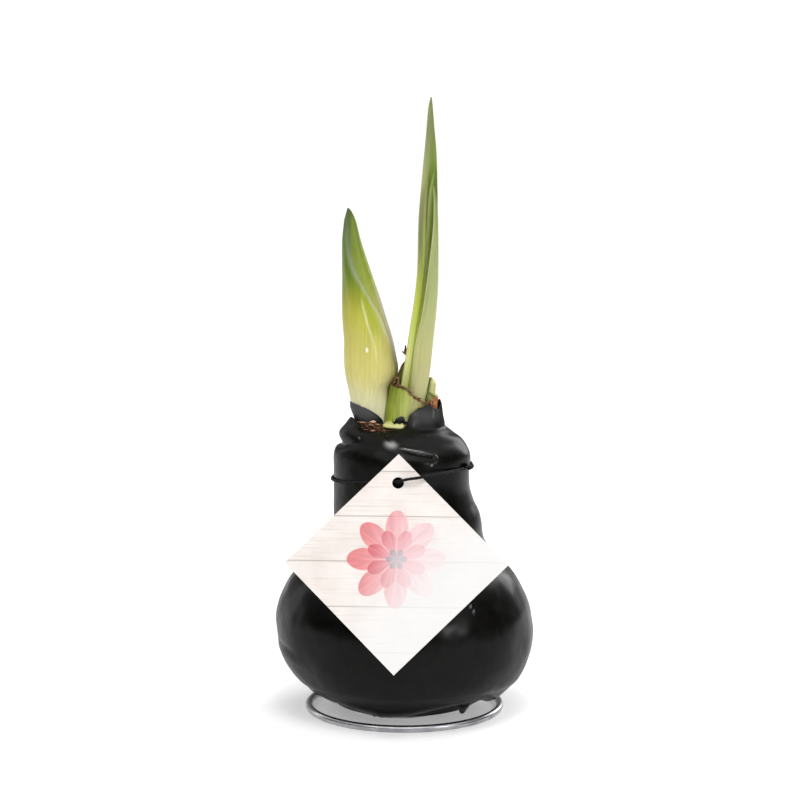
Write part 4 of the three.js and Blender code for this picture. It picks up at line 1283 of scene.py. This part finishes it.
def swept(g, path, sides, radius, **more):
    """A round bar along a path."""
    profile = g.add("GeometryNodeCurvePrimitiveCircle", {"Resolution": sides, "Radius": radius})
    return g.add("GeometryNodeCurveToMesh", {"Curve": path, "Profile Curve": profile, **more})


def finish_tree(g, geometry, finish):
    """The last nodes of a tree: smooth faces, no instances and one material."""
    smooth = g.add("GeometryNodeSetShadeSmooth", {"Geometry": geometry})
    real = g.add("GeometryNodeRealizeInstances", {"Geometry": smooth})
    done = g.add("GeometryNodeSetMaterial", {"Geometry": real, "Material": finish})
    g.tree.links.new(done, g.tree.nodes.new("NodeGroupOutput").inputs[0])
    return g.tree


def braid_tree():
    """Threads wound both ways round a path, each weaving over and under the others, on a round core."""
    g, given = shape_tree("braid", Radius="Float", Thread="Float", Pitch="Float", Threads="Int")
    radius, thread, pitch, threads = (given[label] for label in ("Radius", "Thread", "Pitch", "Threads"))
    path = g.add("GeometryNodeResampleCurve", {"Curve": given["Path"], "Length": 0.32 * MM}, mode="LENGTH")
    joined = g.tree.nodes.new("GeometryNodeJoinGeometry")
    g.tree.links.new(swept(g, path, 10, radius), joined.inputs[0])
    for way in (1.0, -1.0):
        copied = {"Geometry": path, "Amount": threads}
        copies = g.add("GeometryNodeDuplicateElements", copied, domain="SPLINE")
        share = g.math("DIVIDE", copies.node.outputs["Duplicate Index"], threads)
        length = g.add("GeometryNodeSplineParameter", output="Length")
        wound = g.plus(g.math("DIVIDE", length, pitch), g.times(share, way))
        angle = g.times(wound, way * 2 * math.pi)
        weave = g.math("SINE", g.times(length, g.math("DIVIDE", g.times(threads, 2 * math.pi), pitch)))
        reach = g.plus(radius, g.times(weave, g.times(thread, 0.3 * way)))
        normal, tangent = g.add("GeometryNodeInputNormal"), g.add("GeometryNodeInputTangent")
        offset = g.add("ShaderNodeVectorMath", operation="ADD").node
        sides = normal, g.vector("CROSS_PRODUCT", tangent, normal)
        for socket, side, turn in zip(offset.inputs, sides, ("COSINE", "SINE")):
            part = g.vector("SCALE", side)
            g.feed(part.node.inputs["Scale"], g.times(g.math(turn, angle), reach))
            g.feed(socket, part)
        moved = g.add("GeometryNodeSetPosition", {"Geometry": copies, "Offset": offset.outputs[0]})
        g.tree.links.new(swept(g, moved, 5, thread), joined.inputs[0])
    return finish_tree(g, joined.outputs[0], given["Finish"])


def bar_tree():
    """A round bar along a path, closed at its ends."""
    g, given = shape_tree("bar", Radius="Float", Sides="Int")
    bar = swept(g, given["Path"], given["Sides"], given["Radius"], **{"Fill Caps": True})
    return finish_tree(g, bar, given["Finish"])


BRAID = braid_tree()
BAR = bar_tree()


def make_elastic():
    mesh = grown(
        BRAID, path_curve(elastic_route(), closed=True), Radius=0.36 * MM, Thread=0.16 * MM, Pitch=2.1 * MM,
        Threads=6, Finish=ELASTIC,
    )
    piece("elastic_fine", mesh, "elastic", "elastic_loop")


def knot_route():
    """A trefoil drawn tight, where the elastic's two ends are tied."""
    angle = math.radians(KNOT_TURN)
    c, s = math.cos(angle), math.sin(angle)
    route = []
    for t in circle(120):
        size = (2 + math.cos(3 * t)) * 0.5
        out, onwards = KNOT_OUT + 0.7 * size * math.cos(2 * t), 1.5 * size * math.sin(2 * t)
        route.append((
            NECK_ROUND_MIDDLE + (NECK_ROUND[0] + out) * c - onwards * s,
            (NECK_ROUND[1] + out) * s + onwards * c,
            KNOT_LEVEL + 0.45 * math.sin(3 * t),
        ))
    return route


def make_knot():
    mesh = grown(BAR, path_curve(knot_route(), closed=True), Radius=0.5 * MM, Sides=12, Finish=ELASTIC)
    piece("elastic_knot", mesh, "elastic")


# ------------------------------------------------------------------ wire stand

WIRE = 2.5  # thickness
RING = 33.65  # radius of its middle line
RING_TURNS = (100, 385)  # degrees where the ring starts, and where it leaves for the spiral
SPIRAL_END = 820
SPIRAL_PITCH = 9.2
SPIRAL_STEP = 12.0  # how far the wire comes in where it leaves the ring
SPIRAL_CROSSING = 0.35  # of a turn that it takes for that
SPIKE_BEND = 4.0  # radius of the bend up into the spike
SPIKE_TOP = 24.0
QUARTER = 0.5523  # of the radius: the handles of a curve that is a quarter of a circle


def wire_route():
    """Once round the ring, in along the spiral, and up at the middle."""
    level = WIRE / 2
    start, leave = RING_TURNS
    route = []
    for turn in range(start, SPIRAL_END + 1, 3):
        turned_in = max(turn - leave, 0) / 360
        radius = RING - SPIRAL_PITCH * turned_in - SPIRAL_STEP * ease(0, SPIRAL_CROSSING, turned_in)
        angle = math.radians(turn)
        route.append((radius * math.cos(angle), radius * math.sin(angle), level))
    end, before = Vector(route[-1]), Vector(route[-2])
    heading = (end - before).normalized()
    corner, top = Vector((-SPIKE_BEND, 0, level)), Vector((0, 0, level + SPIKE_BEND))
    right, up = Vector((QUARTER * SPIKE_BEND, 0, 0)), Vector((0, 0, QUARTER * SPIKE_BEND))
    inwards = end, end + heading * 7, corner - Vector((7, 0, 0)), corner
    upwards = corner, corner + right, top - up, top
    for curve, count in ((inwards, 20), (upwards, 14)):
        route += [tuple(cubic(*curve, share)) for share in shares(count)[1:]]
    return route + [(0, 0, z) for z in spread(top.z, SPIKE_TOP, 6)[1:]]


def cubic(a, b, c, d, t):
    return (1 - t) ** 3 * a + 3 * (1 - t) ** 2 * t * b + 3 * (1 - t) * t ** 2 * c + t ** 3 * d


def make_wire():
    mesh = grown(BAR, path_curve(wire_route()), Radius=WIRE / 2 * MM, Sides=24, Finish=WIRE_METAL)
    piece("wire_fine", mesh, "bright_wire", "wire_stand")


# ------------------------------------------------------------------ everything together

def carry_over(node, finish):
    """A CAD node that keeps its shape gets its finish."""
    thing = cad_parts[node]
    thing.data.materials.clear()
    thing.data.materials.append(finish)


make_wax_coat()
make_bud()
make_blade("leaf_tall_fine", LEAF_TALL, 240, "leaf_tall", TALL_LEAF, 0.3)
make_blade("leaf_inner_fine", LEAF_INNER, 200, "leaf_inner", INNER_LEAF)
make_blade("leaf_front_fine", LEAF_FRONT, 200, "leaf_front", FRONT_LEAF)
make_withered_tip()
make_sheath()
make_stub()
make_tunic()
make_dry_scale()
make_bud_wax()
make_tag()
make_elastic()
make_knot()
make_wire()
carry_over("bulb", TUNIC_BROWN)


# ------------------------------------------------------------------ floor, light and camera

TABLE_GLOW = 0.32  # the pale floor is a lit table, which keeps its shadows light
TABLE_REACH = 30.0  # metres each way


def make_floor():
    mesh = bpy.data.meshes.new("floor")
    corners = [(x * TABLE_REACH, y * TABLE_REACH, 0) for x, y in ((-1, -1), (1, -1), (1, 1), (-1, 1))]
    mesh.from_pydata(corners, [], [(0, 1, 2, 3)])
    floor = bpy.data.objects.new("floor", mesh)
    bpy.context.scene.collection.objects.link(floor)
    pale = Finish("pale_floor", Roughness=0.7, Specular_IOR_Level=0.2)
    pale.set("Base Color", colour("#d4d4d4"))
    pale.set("Emission Color", colour("#ffffff"))
    pale.set("Emission Strength", TABLE_GLOW)
    mesh.materials.append(pale.material)


def aim(thing, place, target):
    thing.location = place
    thing.rotation_euler = (Vector(target) - Vector(place)).to_track_quat("-Z", "Y").to_euler()
    bpy.context.scene.collection.objects.link(thing)


# Name, kind, place in metres, strength and other settings. All of them aim at the object's middle.
LIGHTS = [
    ("sky_front", "SUN", (-0.15, -0.75, 1.0), 0.95, {"angle": math.radians(60)}),
    ("sky_right", "SUN", (0.4, -0.4, 1.0), 0.5, {"angle": math.radians(60)}),
    ("overhead", "AREA", (0.05, -0.4, 1.1), 2.6, {"size": 0.28}),
    ("front_right", "AREA", (0.8, -0.78, 0.38), 2.4, {"size": 0.17}),
    ("side_left", "AREA", (-0.75, 0.5, 0.3), 0.75, {"shape": "RECTANGLE", "size": 0.25, "size_y": 0.6}),
    ("side_right", "AREA", (0.58, 0.70, 0.50), 5.4, {"shape": "RECTANGLE", "size": 0.4, "size_y": 0.72}),
]
LIT_AT = (0, 0, 0.09)


def make_light():
    for name, kind, place, strength, settings in LIGHTS:
        light = bpy.data.lights.new(name, kind)
        light.energy = strength
        for label, value in settings.items():
            setattr(light, label, value)
        thing = bpy.data.objects.new(name, light)
        thing.visible_camera = False
        aim(thing, place, LIT_AT)


def make_world():
    """A bright sky, and a faint glow low at the back, more of it at the left."""
    world = bpy.data.worlds.new("studio")
    world.use_nodes = True
    g = Graph(world.node_tree)
    way = g.add("ShaderNodeSeparateXYZ", {0: g.add("ShaderNodeTexCoord", output="Generated")}).node.outputs
    behind = g.remap(way["Y"], -0.1, 0.5, soft=True)
    low = g.remap(way["Z"], 0.0, 0.5, 1.0, 0.0)
    left = g.remap(way["X"], -0.2, 0.5, 0.4, 0.05)
    above = g.remap(way["Z"], 0.35, 0.7, 0.05, 1.05)
    background = world.node_tree.nodes["Background"].inputs
    g.feed(background["Strength"], g.plus(above, g.times(behind, g.times(low, left))))
    g.feed(background["Color"], (1, 1, 1, 1))
    bpy.context.scene.world = world


VIEW_DISTANCE = 1.0  # metres
VIEW_DOWN = 9.0  # degrees
VIEW_AT = (-1.56, 0.0, 109.7)
LENS = 129.6


def make_camera():
    camera = bpy.data.cameras.new("camera")
    camera.lens = LENS
    camera.sensor_width = 36.0
    camera.clip_end = 100.0
    target = frame_point(*VIEW_AT)
    down = math.radians(VIEW_DOWN)
    place = target + VIEW_DISTANCE * Vector((0, -math.cos(down), math.sin(down)))
    eye = bpy.data.objects.new("camera", camera)
    aim(eye, place, target)
    bpy.context.scene.camera = eye


make_floor()
make_light()
make_world()
make_camera()
bpy.context.scene.view_settings.view_transform = "Standard"
